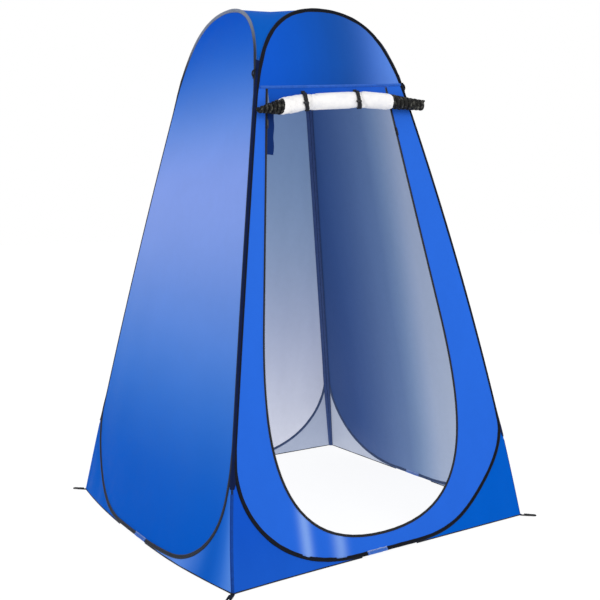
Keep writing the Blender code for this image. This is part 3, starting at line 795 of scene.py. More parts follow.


def cloth_look(name, stops, axis="v", fold_highlights=(), stretch=(1, 1, 0.12)):
    """Coated polyester: a colour ramp along one direction, which paints the light, shade and sheen that
    fall on the side, soft folds, fine weave.
    The list of fold highlights holds (place along u, half width, top, code, share) of painted highlights
    on folds."""
    look = Look(name, 0.5, 0.05)
    base = look.ramp(axis, stops)
    for spot, half, top, code, share in fold_highlights:
        # Painted highlight on a fold: a pale stripe about its place along u, fading out between 0.6 and 1
        # times top.
        away = look.math("DIVIDE", look.math("SUBTRACT", look.u, spot), half)
        glow = look.math("POWER", 2.718, look.math("MULTIPLY", look.math("MULTIPLY", away, away), -1.0))
        fade = look.fade(look.v, top * 0.6, top, share, 0.0)
        base = look.mix(look.math("MULTIPLY", glow, fade), base, colour(code))
    folds = look.noise(9.0, stretch, 2.0)
    crumple = look.noise(28.0)
    threads = look.noise(60.0, (12, 12, 0.5), 2.0)
    look.bump(folds, 0.35, 0.006)
    look.bump(crumple, 0.18, 0.0015)
    look.weave(0.25)
    look.set("IOR", 1.22)
    look.set("Roughness", look.times_plus(crumple, 0.2, 0.42))
    return look.done(look.tone(base, (folds, 0.10), (crumple, 0.05), (threads, 0.06)))


def lining_look(name, stops, axis="u"):
    """The silver coating inside: pale and creased, its colour ramp painting the shade inside the tent,
    with a glow of painted light for the daylight that comes through the cloth.
    """
    look = Look(name, 0.42, 0.15, 0.10)
    folds = look.noise(8.0, (1, 1, 0.10), 2.0)
    crumple = look.noise(40.0, detail=5.0)
    look.bump(folds, 0.4, 0.006)
    look.bump(crumple, 0.25, 0.001)
    look.weave(0.2)
    toned = look.tone(look.ramp(axis, stops), (folds, 0.14), (crumple, 0.08), level=1.12)
    look.set("Emission Color", toned)
    look.set("Emission Strength", LINING_GLOW)
    return look.done(toned)


def tape_look(name, code, edge_code, width, pitch=0.0009, shine=0.3, crown=None):
    """Ribbed tape: cross ribs, worn lighter edges, faint dust. crown holds two heights and the
    colour the tape fades to between them, a painted highlight on the tops of the hoops."""
    look = Look(name, 0.6, shine)
    ribs = look.ribs(pitch, 0.5, 0.0003)
    dust = look.noise(70.0, detail=4.0)
    wear = look.noise(160.0)
    near = look.math("ABSOLUTE", look.math("SUBTRACT", look.v, width / 2))
    edge = look.fade(near, width * 0.32, width * 0.5, 0.0, 0.8)
    base = look.mix(look.math("MULTIPLY", edge, wear), colour(code), colour(edge_code))
    if crown is not None:
        # painted highlight: paler towards the top
        height = look.add("ShaderNodeSeparateXYZ", {0: look.object_place}).outputs[2]
        base = look.mix(look.fade(height, crown[0], crown[1], 0.0, 1.0), base, colour(crown[2]))
    look.bump(dust, 0.2, 0.0004)
    return look.done(look.tone(base, (dust, 0.5), (ribs, 0.08)))


def rib_look(name, code, highlight_code):
    """The wound edge tape of the roll: black, with grey patches laid by noise that paint the highlights
    on its ridges.
    """
    look = Look(name, 0.55, 0.2)
    highlight_mottle = look.noise(95.0, detail=4.0)
    # painted highlight: grey where the noise is high
    share = look.fade(highlight_mottle, 0.52, 0.66, 0.0, 0.55)
    look.ribs(0.0014, 0.5, 0.0004)
    look.bump(highlight_mottle, 0.4, 0.0015)
    return look.done(look.tone(look.mix(share, colour(code), colour(highlight_code)), (highlight_mottle, 0.4)))


def solid_look(name, code, roughness, specular, metallic=0.0, grain=220.0):
    """Moulded, lacquered or metal surfaces: fine grain, uneven gloss, rubbed tone."""
    look = Look(name, roughness, specular, metallic)
    fine = look.noise(grain * 4, detail=4.0)
    broad = look.noise(grain / 4)
    look.bump(fine, 0.3, 0.0001)
    look.set("Roughness", look.times_plus(broad, 0.25, roughness - 0.12))
    return look.done(look.tone(colour(code), (broad, 0.25), (fine, 0.15)))


def brushed_look(name, code):
    look = Look(name, 0.3, 0.5, 0.95)
    brush = look.noise(900.0, (1, 1, 0.05))
    stain = look.noise(25.0)
    look.bump(brush, 0.3, 0.0001)
    look.set("Roughness", look.times_plus(brush, 0.25, 0.2))
    return look.done(look.tone(colour(code), (brush, 0.2), (stain, 0.25)))


def roll_look(name, code, crease_shade_code):
    """White coated cloth of the rolled door: soft creases, with faint grey painted shade in their
    hollows.
    """
    look = Look(name, 0.55, 0.25)
    creases = look.noise(32.0, (0.6, 1, 1), 4.0)
    fine = look.noise(150.0)
    look.bump(creases, 0.35, 0.003)
    look.bump(fine, 0.15, 0.0005)
    look.weave(0.25)
    # painted shade: grey where the crease bump is low
    share = look.fade(creases, 0.3, 0.6, 0.35, 0.0, "LINEAR")
    return look.done(look.tone(look.mix(share, colour(code), colour(crease_shade_code)), (fine, 0.04)))


LOOKS = {made.name: made for made in (
    # The blues of the sides are lit and shaded copies of one cloth: each ramp paints the light, shade and
    # sheen on its side, such as the pale painted sheen half way up the left side, the front cap painted
    # paler towards its right, and pale painted highlights on the two folds by the sill.
    cloth_look("front_band_blue", [(0.0, "2463D2"), (0.6, "2766D6"), (1.9, "2A66D2")],
               fold_highlights=((SILL_FOLDS[0], 0.022, 0.36, "7FA3E6", 0.85),
                        (SILL_FOLDS[1], 0.026, 0.30, "7FA3E6", 0.75))),
    cloth_look("front_cap_blue", [(-0.28, "1154C4"), (-0.15, "1053BC"), (-0.02, "134CA4"),
                                  (0.09, "1A4C9A"), (0.18, "3964B8"), (0.28, "5A86DC")],
               axis="u", stretch=(1.6, 1.6, 0.06)),
    cloth_look("left_blue", [(0.0, "0056C0"), (0.15, "0056C1"), (0.33, "0F5CC2"), (0.60, "3A76D0"),
                             (0.88, "668CDA"), (1.10, "7C98E0"), (1.32, "839CE6"),
                             (1.50, "648CDC"), (1.68, "2C6CCE"), (1.86, "0050C2"),
                             (1.95, "0450C2")],
               stretch=(0.3, 0.3, 0.6)),
    cloth_look("back_blue", [(0.0, "0F5AC6"), (0.6, "2464CE"), (1.2, "5F88DC"),
                             (1.6, "3A70D2"), (1.95, "0C58C8")]),
    cloth_look("right_blue", [(0.0, "1A5FD0"), (0.7, "2E6CDA"), (1.3, "5A86E0"),
                              (1.65, "2E69D4"), (1.95, "0F5AC8")]),
    cloth_look("gore_front_blue", [(0.0, "1A58C2"), (0.2, "1150C0"), (0.4, "1453CA")]),
    cloth_look("gore_left_blue", [(0.30, "5F8CE2"), (0.38, "5686DE"), (0.46, "1560C4"),
                                  (0.52, "0355BC"), (0.57, "1E66CC"), (0.605, "4A80DA"),
                                  (0.63, "5588DE")], axis="u"),
    cloth_look("gore_blue", [(0.0, "0058C0"), (0.4, "0056BE")]),
    cloth_look("roof_blue", [(-1.0, "0C5ABC"), (1.0, "0D5ABA")], stretch=(1, 1, 1)),
    cloth_look("flap_blue", [(1.2, "10285E"), (1.6, "122C66")]),
    cloth_look("strip_blue", [(-0.3, "1250B4"), (0.0, "1A54C0"), (0.3, "2A62CC")], axis="u"),
    # The linings' ramps paint the shade inside the tent: the right lining darker towards the back, the
    # back lining darker towards the roof.
    lining_look("right_lining", [(-0.5, "949CA8"), (-0.2, "8893A9"), (-0.09, "637897"),
                                 (0.0, "51678C"), (0.3, "213C6E"), (0.5, "2C406A")]),
    lining_look("back_lining", [(0.0, "B4B6C0"), (0.28, "ACAFBC"), (0.64, "949CB2"),
                                (1.02, "798AA4"), (1.47, "687F9F"), (1.9, "5A7098")], axis="v"),
    lining_look("plain_lining", [(-0.5, "8E96A8"), (0.5, "9AA0AE")]),
    tape_look("header_blue", "2560C4", "4F80D8", 0.010, shine=0.15),
    tape_look("binding_black", "0B0F1A", "2E3446", 0.030, shine=0.12),
    # The left binding is a paler copy of the black one, a painted highlight, and paler still at the
    # hoop's top.
    tape_look("binding_highlight_grey", "1E2430", "5A6070", 0.030, shine=0.25, crown=(1.70, 1.86, "7C8599")),
    tape_look("binding_slate", "53678E", "2A3350", 0.030, shine=0.2),
    tape_look("corner_tape_slate", "42588C", "0E1428", 0.036, shine=0.2),
    tape_look("corner_black", "0A1A44", "14264E", 0.030, shine=0.08),
    tape_look("crease_navy", "0B3C92", "1650B0", 0.006, shine=0.1),
    tape_look("hem_black", "101626", "2C3C66", 0.012),
    tape_look("patch_light", "3A69C0", "C8D8F2", 0.034, pitch=0.0022, shine=0.15),
    tape_look("webbing_black", "0C0D12", "2C2E36", 0.018, pitch=0.0016),
    tape_look("cord_black", "0C0D12", "33353D", 0.009, pitch=0.0018),
    tape_look("zip_black", "0B0D14", "22283A", 0.016, pitch=0.0012),
    solid_look("zip_teeth_black", "0B0C10", 0.35, 0.5),
    solid_look("thread_blue", "3C6CD0", 0.7, 0.1, grain=600.0),
    solid_look("thread_white", "DCE4F2", 0.7, 0.1, grain=600.0),
    solid_look("thread_black", "1A1E2C", 0.7, 0.1, grain=600.0),
    roll_look("door_white", "F3F1F0", "C9CCD8"),
    rib_look("rib_black", "0D0D0C", "66665E"),
    solid_look("core_black", "0C0C0E", 0.7, 0.2),
    solid_look("toggle_plastic_black", "15161A", 0.4, 0.4),
    solid_look("zip_lacquer_black", "121318", 0.32, 0.5, 0.55),
    brushed_look("spring_steel_bare", "B9BBC0"))}


# ---------------------------------------------------------------- hoops and their binding

def tail_reach(tight):
    return TAIL + (TAIL_STRAIGHT - TAIL) * tight


def binding_profile(tight=0.0):
    """A folded tape: a round bead over the wire and a flat tail lapped over the cloth."""
    tail = tail_reach(tight)
    radius = BEAD_R + (BEAD_STRAIGHT - BEAD_R) * tight
    angles = np.radians(np.linspace(-148, 148, 13))
    bead = np.column_stack((np.cos(angles), np.sin(angles))) * radius
    root = -radius - 0.0003
    thick, thin = TAIL_LAYERS
    flat = np.array(((root, thick), (-tail + TAIL_ROUND, thin), (-tail, 0.0),
                     (-tail + TAIL_ROUND, -thin), (root, -thick)))
    return np.vstack((bead, flat))


def make_binding(side):
    """The bound edge of a side: binding, spring wire, ferrule, and the patch over their joint."""
    loop = hoop_loop(BINDING_STEP)
    profile = np.array([binding_profile(tight) for tight in tight_share(loop[:, 1])])
    middles = (profile[0] + np.roll(profile[0], -1, 0)) / 2
    # the left side's binding is painted paler, as a highlight
    look = "binding_highlight_grey" if side == "left" else "binding_black"
    side_sweep(f"{side}_binding", side, loop, profile, look, "binding", node=f"{side}_sleeve",
               scale=pucker(place(side, loop), 0.10, 38.0), closed=True,
               inner=("binding_slate", middles[:, 1] < -0.0004))
    side_sweep(f"{side}_spring", side, loop, circle(WIRE_R, 8), "spring_steel_bare", "spring_steel",
               node=f"{side}_hoop_wire", closed=True)
    spot, low = PATCH_X[side], BOTTOM_Z * SLOPE
    run = np.linspace(-FERRULE_HALF, FERRULE_HALF, 15)
    grip = 1.0 + 0.12 * np.cos(run / FERRULE_HALF * 3 * math.pi)
    side_sweep(f"{side}_crimp", side, level_path(spot + run, low), circle(FERRULE_R, 12),
               "spring_steel_bare", "ferrule_steel", node=f"{side}_ferrule", scale=grip)
    path = level_path(spot + np.linspace(-PATCH_HALF, PATCH_HALF, 29), low)
    side_sweep(f"{side}_patch_cover", side, path, binding_profile() * (1.12, 1.16), "patch_light",
               "patch_cloth", node=f"{side}_patch", scale=pucker(place(side, path), 0.12, 70.0))


def make_threads(side):
    """The stitch rows: along the binding's tail, and round the light patch."""
    loop = hoop_loop(BINDING_STEP)
    inset, height = BINDING_ROW
    reach = tail_reach(tight_share(loop[:, 1])) - inset
    inner = offset(loop, reach[:, None], closed=True)
    row = place(side, np.vstack((inner, inner[:1])), height)
    add_stitches(f"{side}_stitching", [(row, OUT[side])], "thread_black", side)
    low = BOTTOM_Z * SLOPE
    left, right = (PATCH_X[side] + sign * (PATCH_HALF - PATCH_SEAM) for sign in (-1, 1))
    above, height = PATCH_ROW
    rows = [(((left, low + above), (right, low + above)), height)]
    upper, lower, height = PATCH_SHORT_ROWS
    rows += [(((x, low + upper), (x, low + lower)), height) for x in (left, right)]
    add_stitches(f"{side}_patch_stitching",
                 [(place(side, np.array(row), w), OUT[side]) for row, w in rows],
                 "thread_white", side)


# ---------------------------------------------------------------- cloth

def swell(relief, rim, shape=clamp):
    """A height that is reached at some distance from the rim."""
    height, reach = relief
    return height * shape(rim / reach)


def sheet_relief(side):
    """Soft billow between the seams, shallow folds, and puckers along the binding."""
    seed = SIDES.index(side) * 7.3

    def relief(u, v, rim):
        folds = swell(SHEET_FOLDS, rim) * ripple(u, v, 5.0, 1.3, seed, seed)
        seam = swell(SEAM_PUCKERS, rim) * ripple(u, v, 26.0, 26.0, seed) * np.exp(-rim / PUCKER_FADE)
        return swell(BILLOW, rim, ease) + folds + seam

    return relief


def band_relief(u, v, rim):
    """The narrow band is pulled flat, with two soft upright folds by the sill."""
    folds = sum(np.exp(-((u - spot) / FOLD_HALF) ** 2) for spot in SILL_FOLDS)
    folds = SILL_FOLD * folds * clamp((SILL_FOLD_TOP - v) / 0.2)
    height, reach = BAND_RIPPLE
    return (folds + ripple(u, v, 9.0, 3.0, 2.0) * height) * clamp(rim / reach)


def cap_relief(u, v, rim):
    return swell(CAP_BILLOW, rim, ease) + swell(CAP_RIPPLE, rim) * ripple(u, v, 16.0, 1.5, 5.0)


def gore_relief(u, _, rim):
    return swell(GORE_WAVES, rim) * np.sin(np.abs(u) * GORE_WAVE_RATE)


def make_plain_panel(side):
    outline = offset(hoop_loop(EDGE_STEP), SHEET_EDGE, closed=True)
    lining = f"{side}_lining" if f"{side}_lining" in LOOKS else "plain_lining"
    cloth_sheet(f"{side}_cloth", side, f"{side}_panel", outline, PANEL_STEP,
                [f"{side}_blue", lining], sheet_relief(side))


def make_front_panels():
    """The band round the opening and the cap above the header."""
    loop = offset(hoop_loop(EDGE_STEP), SHEET_EDGE, closed=True)
    band = cut_at_header(np.roll(loop, len(loop) // 2, 0), below=True)
    outline = np.vstack((band, resample(door_edge(), EDGE_STEP)[::-1]))
    cloth_sheet("front_cloth", "front", "front_panel", outline, BAND_STEP,
                ["front_band_blue", "plain_lining"], band_relief)
    crown = cut_at_header(loop, below=False)
    seam = resample(np.vstack((crown[-1], crown[0])), EDGE_STEP)[1:-1]
    cloth_sheet("front_cap_cloth", "front", "front_cap_panel", np.vstack((crown, seam)), CAP_STEP,
                ["front_cap_blue", "plain_lining"], cap_relief)


GORE_LOOKS = {("front", "left"): "gore_front_blue", ("left", "right"): "gore_left_blue"}


def make_gores(side):
    """The two cloth triangles between a hoop's bottom bends and its corner seams."""
    outer = offset(HOOP_HALF, -GORE_INSET)
    keep = (outer[:, 1] > GORE_END[0]) & (outer[:, 0] < edge_u(outer[:, 1]) - GORE_END[1])
    curved = outer[keep & (outer[:, 1] < BEND_Z * SLOPE)]
    seam_v = np.linspace(GORE_GROUND, curved[-1, 1], 26)
    seam = np.column_stack((edge_u(seam_v) - GORE_GAP, seam_v))
    hem = level_path(np.arange(curved[0, 0] + 0.014, seam[0, 0], 0.016), GORE_GROUND)
    start = np.array(((curved[0, 0], GORE_GROUND),))
    outline = np.vstack((start, hem, seam, curved[::-1]))
    for name, sign in (("left", -1), ("right", 1)):
        look = GORE_LOOKS.get((side, name), "gore_blue")
        cloth_sheet(f"{side}_gore_{name}", side, f"{side}_gusset_{name}", outline * (sign, 1.0),
                    GORE_STEP, [look, "plain_lining"], gore_relief)
        run = resample(np.vstack((start, hem[-1:] + (0.010, 0.0))) * (sign, 1.0), 0.02)
        side_sweep(f"{side}_hem_{name}", side, run + (0.0, HEM_Z), ribbon("hem"),
                   "hem_black", "binding")


# ---------------------------------------------------------------- corners

def corner_points(corner, v, reach, w):
    """Points on both sides of a corner, reach in from its edge line and w out from the cloth."""
    first, second = CORNERS[corner]
    edge = edge_u(v)
    return (place(first, np.column_stack((edge - reach, v)), w),
            place(second, np.column_stack((reach - edge, v)), w))


def corner_strip(name, corner, v, section, thickness, look):
    """A strip folded round a corner. section holds (reach, w) from the
    first side inward. The front left corner is open, so its strips follow the front."""
    first, second = CORNERS[corner]
    pairs = [corner_points(corner, v, reach, w) for reach, w in section]
    left, right = zip(*pairs[:-1])
    columns = np.array(left + (sum(pairs[-1]) / 2,) + right[::-1])
    count = len(columns)
    span = run_along(columns[:, 0])
    uvs = np.column_stack((np.repeat(v, count), np.tile(span, len(v))))
    out = OUT[first] + OUT[second]
    body = "front" if corner == DRIFT_CORNER else None
    strip = grid_sheet(name, body, columns.transpose(1, 0, 2).reshape(-1, 3), (len(v), count),
                       out / np.linalg.norm(out), thickness, [look], uvs)
    if body is None:
        a, b = corner_points(corner, np.array([0.8]), 0.010, 0.0)
        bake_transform(strip)


def make_corner(corner):
    """The flared outer band, the tape inside the tent, and the crease between the gores."""
    bend, shoulder = BEND_Z * SLOPE, SHOULDER_Z * SLOPE
    high = np.linspace(bend - BAND_LOW * SLOPE, shoulder + BAND_HIGH * SLOPE, 120)
    # Below the bends the dark band widens into the wedge where two hoops part: partly the two bindings
    # side by side, partly painted shadow in that fork.
    flare = 1.0 + 1.8 * clamp((bend - high) / BAND_LOW)
    flare *= clamp(0.25 + (high - high[0]) / 0.024)
    flare += 0.8 * clamp((high - shoulder) / BAND_HIGH)
    clear = 0.0026 * clamp((bend + 0.02 - high) / 0.06)
    corner_strip(f"corner_band_{corner}", corner, high,
                 [(0.0036 * flare, 0.0016 + clear * 0.4), (0.0024 * flare, 0.0004 + clear),
                  (0.0, -0.0004 + clear)], STRIP_CLOTH, "corner_black")
    whole = np.linspace(0.003, shoulder + 0.03 * SLOPE, 90)
    narrow = 0.55 + 0.45 * clamp(whole / bend)
    corner_strip(f"corner_tape_{corner}", corner, whole,
                 [(reach * narrow, w) for reach, w in TAPE_SECTION], STRIP_CLOTH,
                 "corner_tape_slate")
    corner_strip(f"gore_seam_{corner}", corner, np.linspace(0.0015, bend - SEAM_LOW * SLOPE, 26),
                 CREASE_SECTION, CREASE_CLOTH, "crease_navy")


# ---------------------------------------------------------------- roof

def roof_sag(x, y, depth):
    """The cloth hangs a little below the hoop tops, most at the middle."""
    return -ROOF_SAG * (1.0 - (np.maximum(np.abs(x), np.abs(y)) / depth) ** 2)


def make_roof(side):
    """A quarter of the roof cloth: two wings along the hoop's shoulders and a flat top."""
    across, v = HOOP_HALF[HOOP_HALF[:, 1] >= SHOULDER_Z * SLOPE].T
    height = v / SLOPE
    depth = AXIS_HALF + PLANE_OFFSET * SLOPE - LEAN * height
    rows = depth - across > 0.012
    across, depth, height = (column[rows][:, None] for column in (across, depth, height))
    steps = 10
    t = np.linspace(0.0, 1.0, steps + 1)
    half = (across + depth) / 2
    x, y = across + (half - across) * t, depth + (half - depth) * t
    z = height + TOP_LIFT[side] * top_share(height) * (1.0 - t) + roof_sag(x, y, depth)
    top = depth[-1, 0]
    a, b = t[:, None], t[None, :]
    top_x, top_y = (a - b) * top / 2, top - (a + b) * top / 2
    top_z = (height[-1, 0] + TOP_LIFT[side] * np.maximum(0.0, 1.0 - a - b)
             + roof_sag(top_x, top_y, top))
    points, faces = [], []
    for grid, flip in (((-x, -y, z), True), ((x, -y, z), False), ((top_x, -top_y, top_z), True)):
        for quad in grid_faces(len(grid[0]), steps + 1):
            quad = [len(points) + i for i in quad]
            faces.append(quad[::-1] if flip else quad)
        points += [tuple(p) for p in np.stack(grid, axis=-1).reshape(-1, 3)]
    cloth = bmesh.new()
    made = [cloth.verts.new(turn_to(side) @ Vector(p)) for p in points]
    for face in faces:
        cloth.faces.new([made[i] for i in face])
    bmesh.ops.remove_doubles(cloth, verts=cloth.verts, dist=0.0012)
    bmesh.ops.dissolve_degenerate(cloth, edges=cloth.edges, dist=0.0002)
    cloth.normal_update()
    if sum(f.normal.z for f in cloth.faces) < 0:
        bmesh.ops.reverse_faces(cloth, faces=cloth.faces)
    cloth.verts.index_update()
    flat = np.array([tuple(v.co) for v in cloth.verts])
    normals = np.array([tuple(v.normal) for v in cloth.verts])
    quads = [tuple(v.index for v in f.verts) for f in cloth.faces]
    cloth.free()
    layers, everything, kinds = shell(flat, quads, normals, CLOTH)
    roof = add_piece(f"{side}_canopy", side, layers, everything, ["roof_blue", "plain_lining"],
                     layers[:, :2], kinds, f"{side}_roof")
    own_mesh(roof)


# ---------------------------------------------------------------- door, zip and header

def make_header():
    """The folded tape along the header seam, with its two stitch rows."""
    reach = hoop_at(HEADER_V) - HEADER_END
    run = np.linspace(-reach, reach, 50)
    path = np.column_stack((run, header_v(run) + HEADER_TAPE / 2))
    side_sweep("header_binding", "front", path, ribbon("header"), "header_blue",
               "tent_cloth", w=0.0012, node="header_tape")
    rows = [(place("front", path + (0.0, rise), 0.0024), OUT["front"])
            for rise in (-HEADER_ROWS, HEADER_ROWS)]
    add_stitches("header_stitching", rows, "thread_blue", "front")


def make_zip():
    """Zip tape round the opening, the teeth along its free edge, and its stitch row."""
    side_sweep("zip_cloth", "front", resample(door_edge(ZIP_WIDTH / 2 - 0.001), TAPE_STEP),
               ribbon("zip"), "zip_black", "zip_tape", node="zip_tape")
    edge = place("front", resample(door_edge(ZIP_WIDTH - 0.0008), TOOTH_STEP), 0.0004)
    ahead = tangents(edge)
    points, faces = [], []
    cube = [(a, b, c) for a in (-1, 1) for b in (-1, 1) for c in (-1, 1)]
    quads = ((0, 1, 3, 2), (4, 6, 7, 5), (0, 4, 5, 1), (2, 3, 7, 6), (0, 2, 6, 4), (1, 5, 7, 3))
    for spot, t, s in zip(edge, ahead, np.cross(ahead, OUT["front"])):
        faces += [tuple(len(points) + i for i in quad) for quad in quads]
        for a, b, c in cube:
            taper = 0.7 if b < 0 else 1.0
            along, across, out = TOOTH * (a * taper, b, c * taper)
            points.append(spot + t * along + s * across + OUT["front"] * out)
    add_piece("zip_teeth", "front", points, faces, ["zip_teeth_black"],
              np.array(points)[:, :2])
    hem = offset(resample(door_edge(), TAPE_STEP), -ZIP_THREAD)
    add_stitches("zip_stitching", [(place("front", hem, 0.0009), OUT["front"])], "thread_blue",
                 "front")


def finish_hard(node, look):
    """A CAD node that stays: its material and rounded edges."""
    part = frame["nodes"][node]
    part.data.materials.clear()
    part.data.materials.append(LOOKS[look])
    rounding = part.modifiers.new("Rounded", "BEVEL")
    rounding.width = HARD_BEVEL
    rounding.segments = 2
    rounding.limit_method = "ANGLE"
    rounding.angle_limit = math.radians(40)


def make_flap():
    """The dark strip sewn behind the left edge of the opening."""
    low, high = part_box("side_flap")
    v = np.linspace(low.z, high.z, 12)[:, None] * SLOPE
    share = np.linspace(0.0, 1.0, 7)
    wave = FLAP_WAVE[0] * np.sin(v * FLAP_WAVE[1])
    u = DOOR_X - door_at(v) - FLAP_LAP + (FLAP_WIDTH + wave) * share
    rise, curl = np.broadcast_arrays(v, -FLAP_BEHIND - FLAP_CURL * share ** 2)
    points = place("front", np.column_stack((u.ravel(), rise.ravel())), curl.ravel())
    uvs = np.column_stack((np.tile(share * FLAP_WIDTH, len(v)), rise.ravel()))
    grid_sheet("side_flap_cloth", "front", points, u.shape, OUT["front"], CLOTH, ["flap_blue"],
               uvs, "side_flap")


# ---------------------------------------------------------------- the rolled door

def roll_matrix():
    start, along, up, out = AXES["front"]
    plane = Matrix(np.column_stack((along, up, out)).tolist()).to_4x4()
    centre = Matrix.Translation((DOOR_X, header_v(DOOR_X) - ROLL_DROP, ROLL_R))
    return Matrix.Translation(start) @ plane @ centre @ Matrix.Rotation(ROLL_TILT, 4, "Z")


def roll_sag(x):
    """How far the roll's middle hangs below a straight line, eased at each bend."""
    spots, sags = zip(*ROLL_LINE)
    return sum(np.interp(x + shift, spots, sags) for shift in (-ROLL_EASE, 0.0, ROLL_EASE)) / 3


def roll_place(x, y=0.0, z=0.0):
    """World points of the roll's own (x, y, z). It sags off its ties and stands forward at its ends."""
    x, y, z = (part.ravel() for part in np.broadcast_arrays(x, y, z))
    beyond = np.maximum(np.abs(x) - ROLL_STRAIGHT, 0.0)
    matrix = np.array(roll_matrix())
    local = np.column_stack((x, y + roll_sag(x), z + ROLL_FORWARD * beyond ** 2))
    return local @ matrix[:3, :3].T + matrix[:3, 3]


def roll_radius(x):
    """The white roll: full between the ties, pinched under each tie and at its two ends."""
    pinches = [(tie + TIE_SHIFT, *TIE_PINCH) for tie in TIE_X]
    pinches += [(end, *END_PINCH) for end in ROLL_WHITE]
    return ROLL_R * ROLL_SHARE - sum(depth * np.exp(-((x - (spot - DOOR_X)) / reach) ** 2)
                                for spot, depth, reach in pinches)


def make_roll():
    """The rolled door flap: cloth blown out softly between the ties by simulation."""
    count, sides = 120, 56
    left, right = (x - DOOR_X for x in ROLL_WHITE)
    xs = np.linspace(left, right, count)
    share = np.arange(sides) / sides
    radius = roll_radius(xs)[:, None] - ROLL_LAP * (1.0 - share)
    turn = 2 * math.pi * share - ROLL_LAP_TURN
    world = roll_place(xs[:, None], radius * np.cos(turn), radius * np.sin(turn))
    uvs = np.column_stack((np.repeat(xs, sides), np.tile(share * ROLL_R * 2 * math.pi, count)))
    roll = add_piece("rolled_door", None, world, tube_faces(count, sides), ["door_white"],
                     uvs)
    held = (xs < left + ROLL_GRIP) | (xs > right - ROLL_GRIP)
    for tie in TIE_X:
        held |= np.abs(xs - (tie - DOOR_X)) < TIE_WIDTH
    inflate(roll, np.flatnonzero(np.repeat(held, sides)).tolist())
    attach(roll, "door_roll")
    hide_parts("door_roll")


def inflate(piece, held):
    """Cloth under light pressure, held at some vertices, none moved further than PUFF_LIMIT."""
    rest = np.array([tuple(v.co) for v in piece.data.vertices])
    group = piece.vertex_groups.new(name="held")
    group.add(held, 1.0, "REPLACE")
    cloth = piece.modifiers.new("Puff", "CLOTH")
    for key, value in PUFF.items():
        setattr(cloth.settings, key, value)
    cloth.settings.effector_weights.gravity = 0.0
    cloth.collision_settings.use_collision = False
    cloth.point_cache.frame_end = PUFF_FRAMES
    scene = bpy.context.scene
    for step in range(PUFF_FRAMES):
        scene.frame_set(step + 1)
    graph = bpy.context.evaluated_depsgraph_get()
    blown = np.array([tuple(v.co) for v in piece.evaluated_get(graph).data.vertices])
    piece.modifiers.remove(cloth)
    piece.vertex_groups.clear()
    move = blown - rest
    size = np.linalg.norm(move, axis=1)
    move *= np.minimum(1.0, PUFF_LIMIT / np.maximum(size, 1e-9))[:, None]
    piece.data.vertices.foreach_set("co", (rest + move).astype(np.float32).ravel())
    piece.data.update()
    scene.frame_set(1)


def make_coil(name, start, end, radii, turns):
    """A spiral end of the rolled flap: its black edge tape wound in ribs round a core."""
    count = turns * COIL_STEPS
    t = np.linspace(0.0, 1.0, count)
    x = start - DOOR_X + (end - start) * t
    angle = 2 * math.pi * turns * t + COIL_START
    wander = np.array([noise.noise(Vector((s * 14.0, start * 9, 0.0))) for s in t])
    radius = radii[0] + (radii[1] - radii[0]) * t ** 0.9 - RIB_R + wander * COIL_WANDER
    path = roll_place(x, radius * np.cos(angle), radius * np.sin(angle))
    width = abs(end - start) / turns * COIL_WIDTH
    sweep(name, "door_roll", path, unit(path - roll_place(x)), circle(1.0, 12) * (width, RIB_R),
          "rib_black", "binding", scale=pucker(path, 0.16, 55.0))
    stations = np.linspace(0.0, 1.0, 20)
    size = (radii[0] + (radii[1] - radii[0]) * stations - RIB_R) / radii[0]
    middle = roll_place(start - DOOR_X + (end - start) * stations * CORE_SHARE)
    sweep(f"{name}_core", "door_roll", middle, OUT["front"], circle(radii[0], 20), "core_black",
          "binding", scale=size)


def make_strip():
    """The hanging top of the door flap, from the header seam down into the roll."""
    half = door_at(HEADER_V) - ZIP_WIDTH * 0.4
    u, fall = np.meshgrid(DOOR_X + np.linspace(-half, half, 40), np.linspace(0.0, 1.0, 9))
    top = header_v(u) + 0.0003
    bottom = (header_v(DOOR_X) - ROLL_DROP + (u - DOOR_X) * math.tan(ROLL_TILT)
              + roll_sag(u - DOOR_X))
    flat = np.column_stack((u.ravel(), (top + (bottom - top) * fall).ravel()))
    wave = STRIP_WAVE[0] * np.sin(u * STRIP_WAVE[1]) * np.sin(math.pi * fall)
    points = place("front", flat, (CLOTH / 2 + wave + STRIP_FORWARD * fall ** 2).ravel())
    grid_sheet("door_hanging", "door_roll", points, u.shape, OUT["front"], CLOTH,
               ["strip_blue", "plain_lining"], flat)


def make_tie(side, x):
    """A strap from the header, round the roll and up to its toggle."""
    middle = x - DOOR_X + TIE_SHIFT
    angles = np.radians(np.linspace(*TIE_TURN, 50))
    forward = TIE_R * np.cos(angles)
    turn_x = middle - TIE_SKEW * forward
    path = roll_place(turn_x, TIE_R * np.sin(angles), forward)
    sweep(f"tie_strap_{side}", "door_roll", path, unit(path - roll_place(turn_x)),
          ribbon("tie_strap"), "webbing_black", "webbing", node=f"roll_tie_{side}",
          scale=pucker(path, 0.22, 110.0))
    back = TIE_TAB_BACK - ROLL_R
    tab = roll_place(middle - TIE_SKEW * back, np.linspace(*TIE_TAB, 12), back)
    sweep(f"tie_tab_{side}", "door_roll", tab, OUT["front"], ribbon("tie_tab"),
          "webbing_black", "webbing", scale=pucker(tab, 0.15, 90.0))


# ---------------------------------------------------------------- corner loops

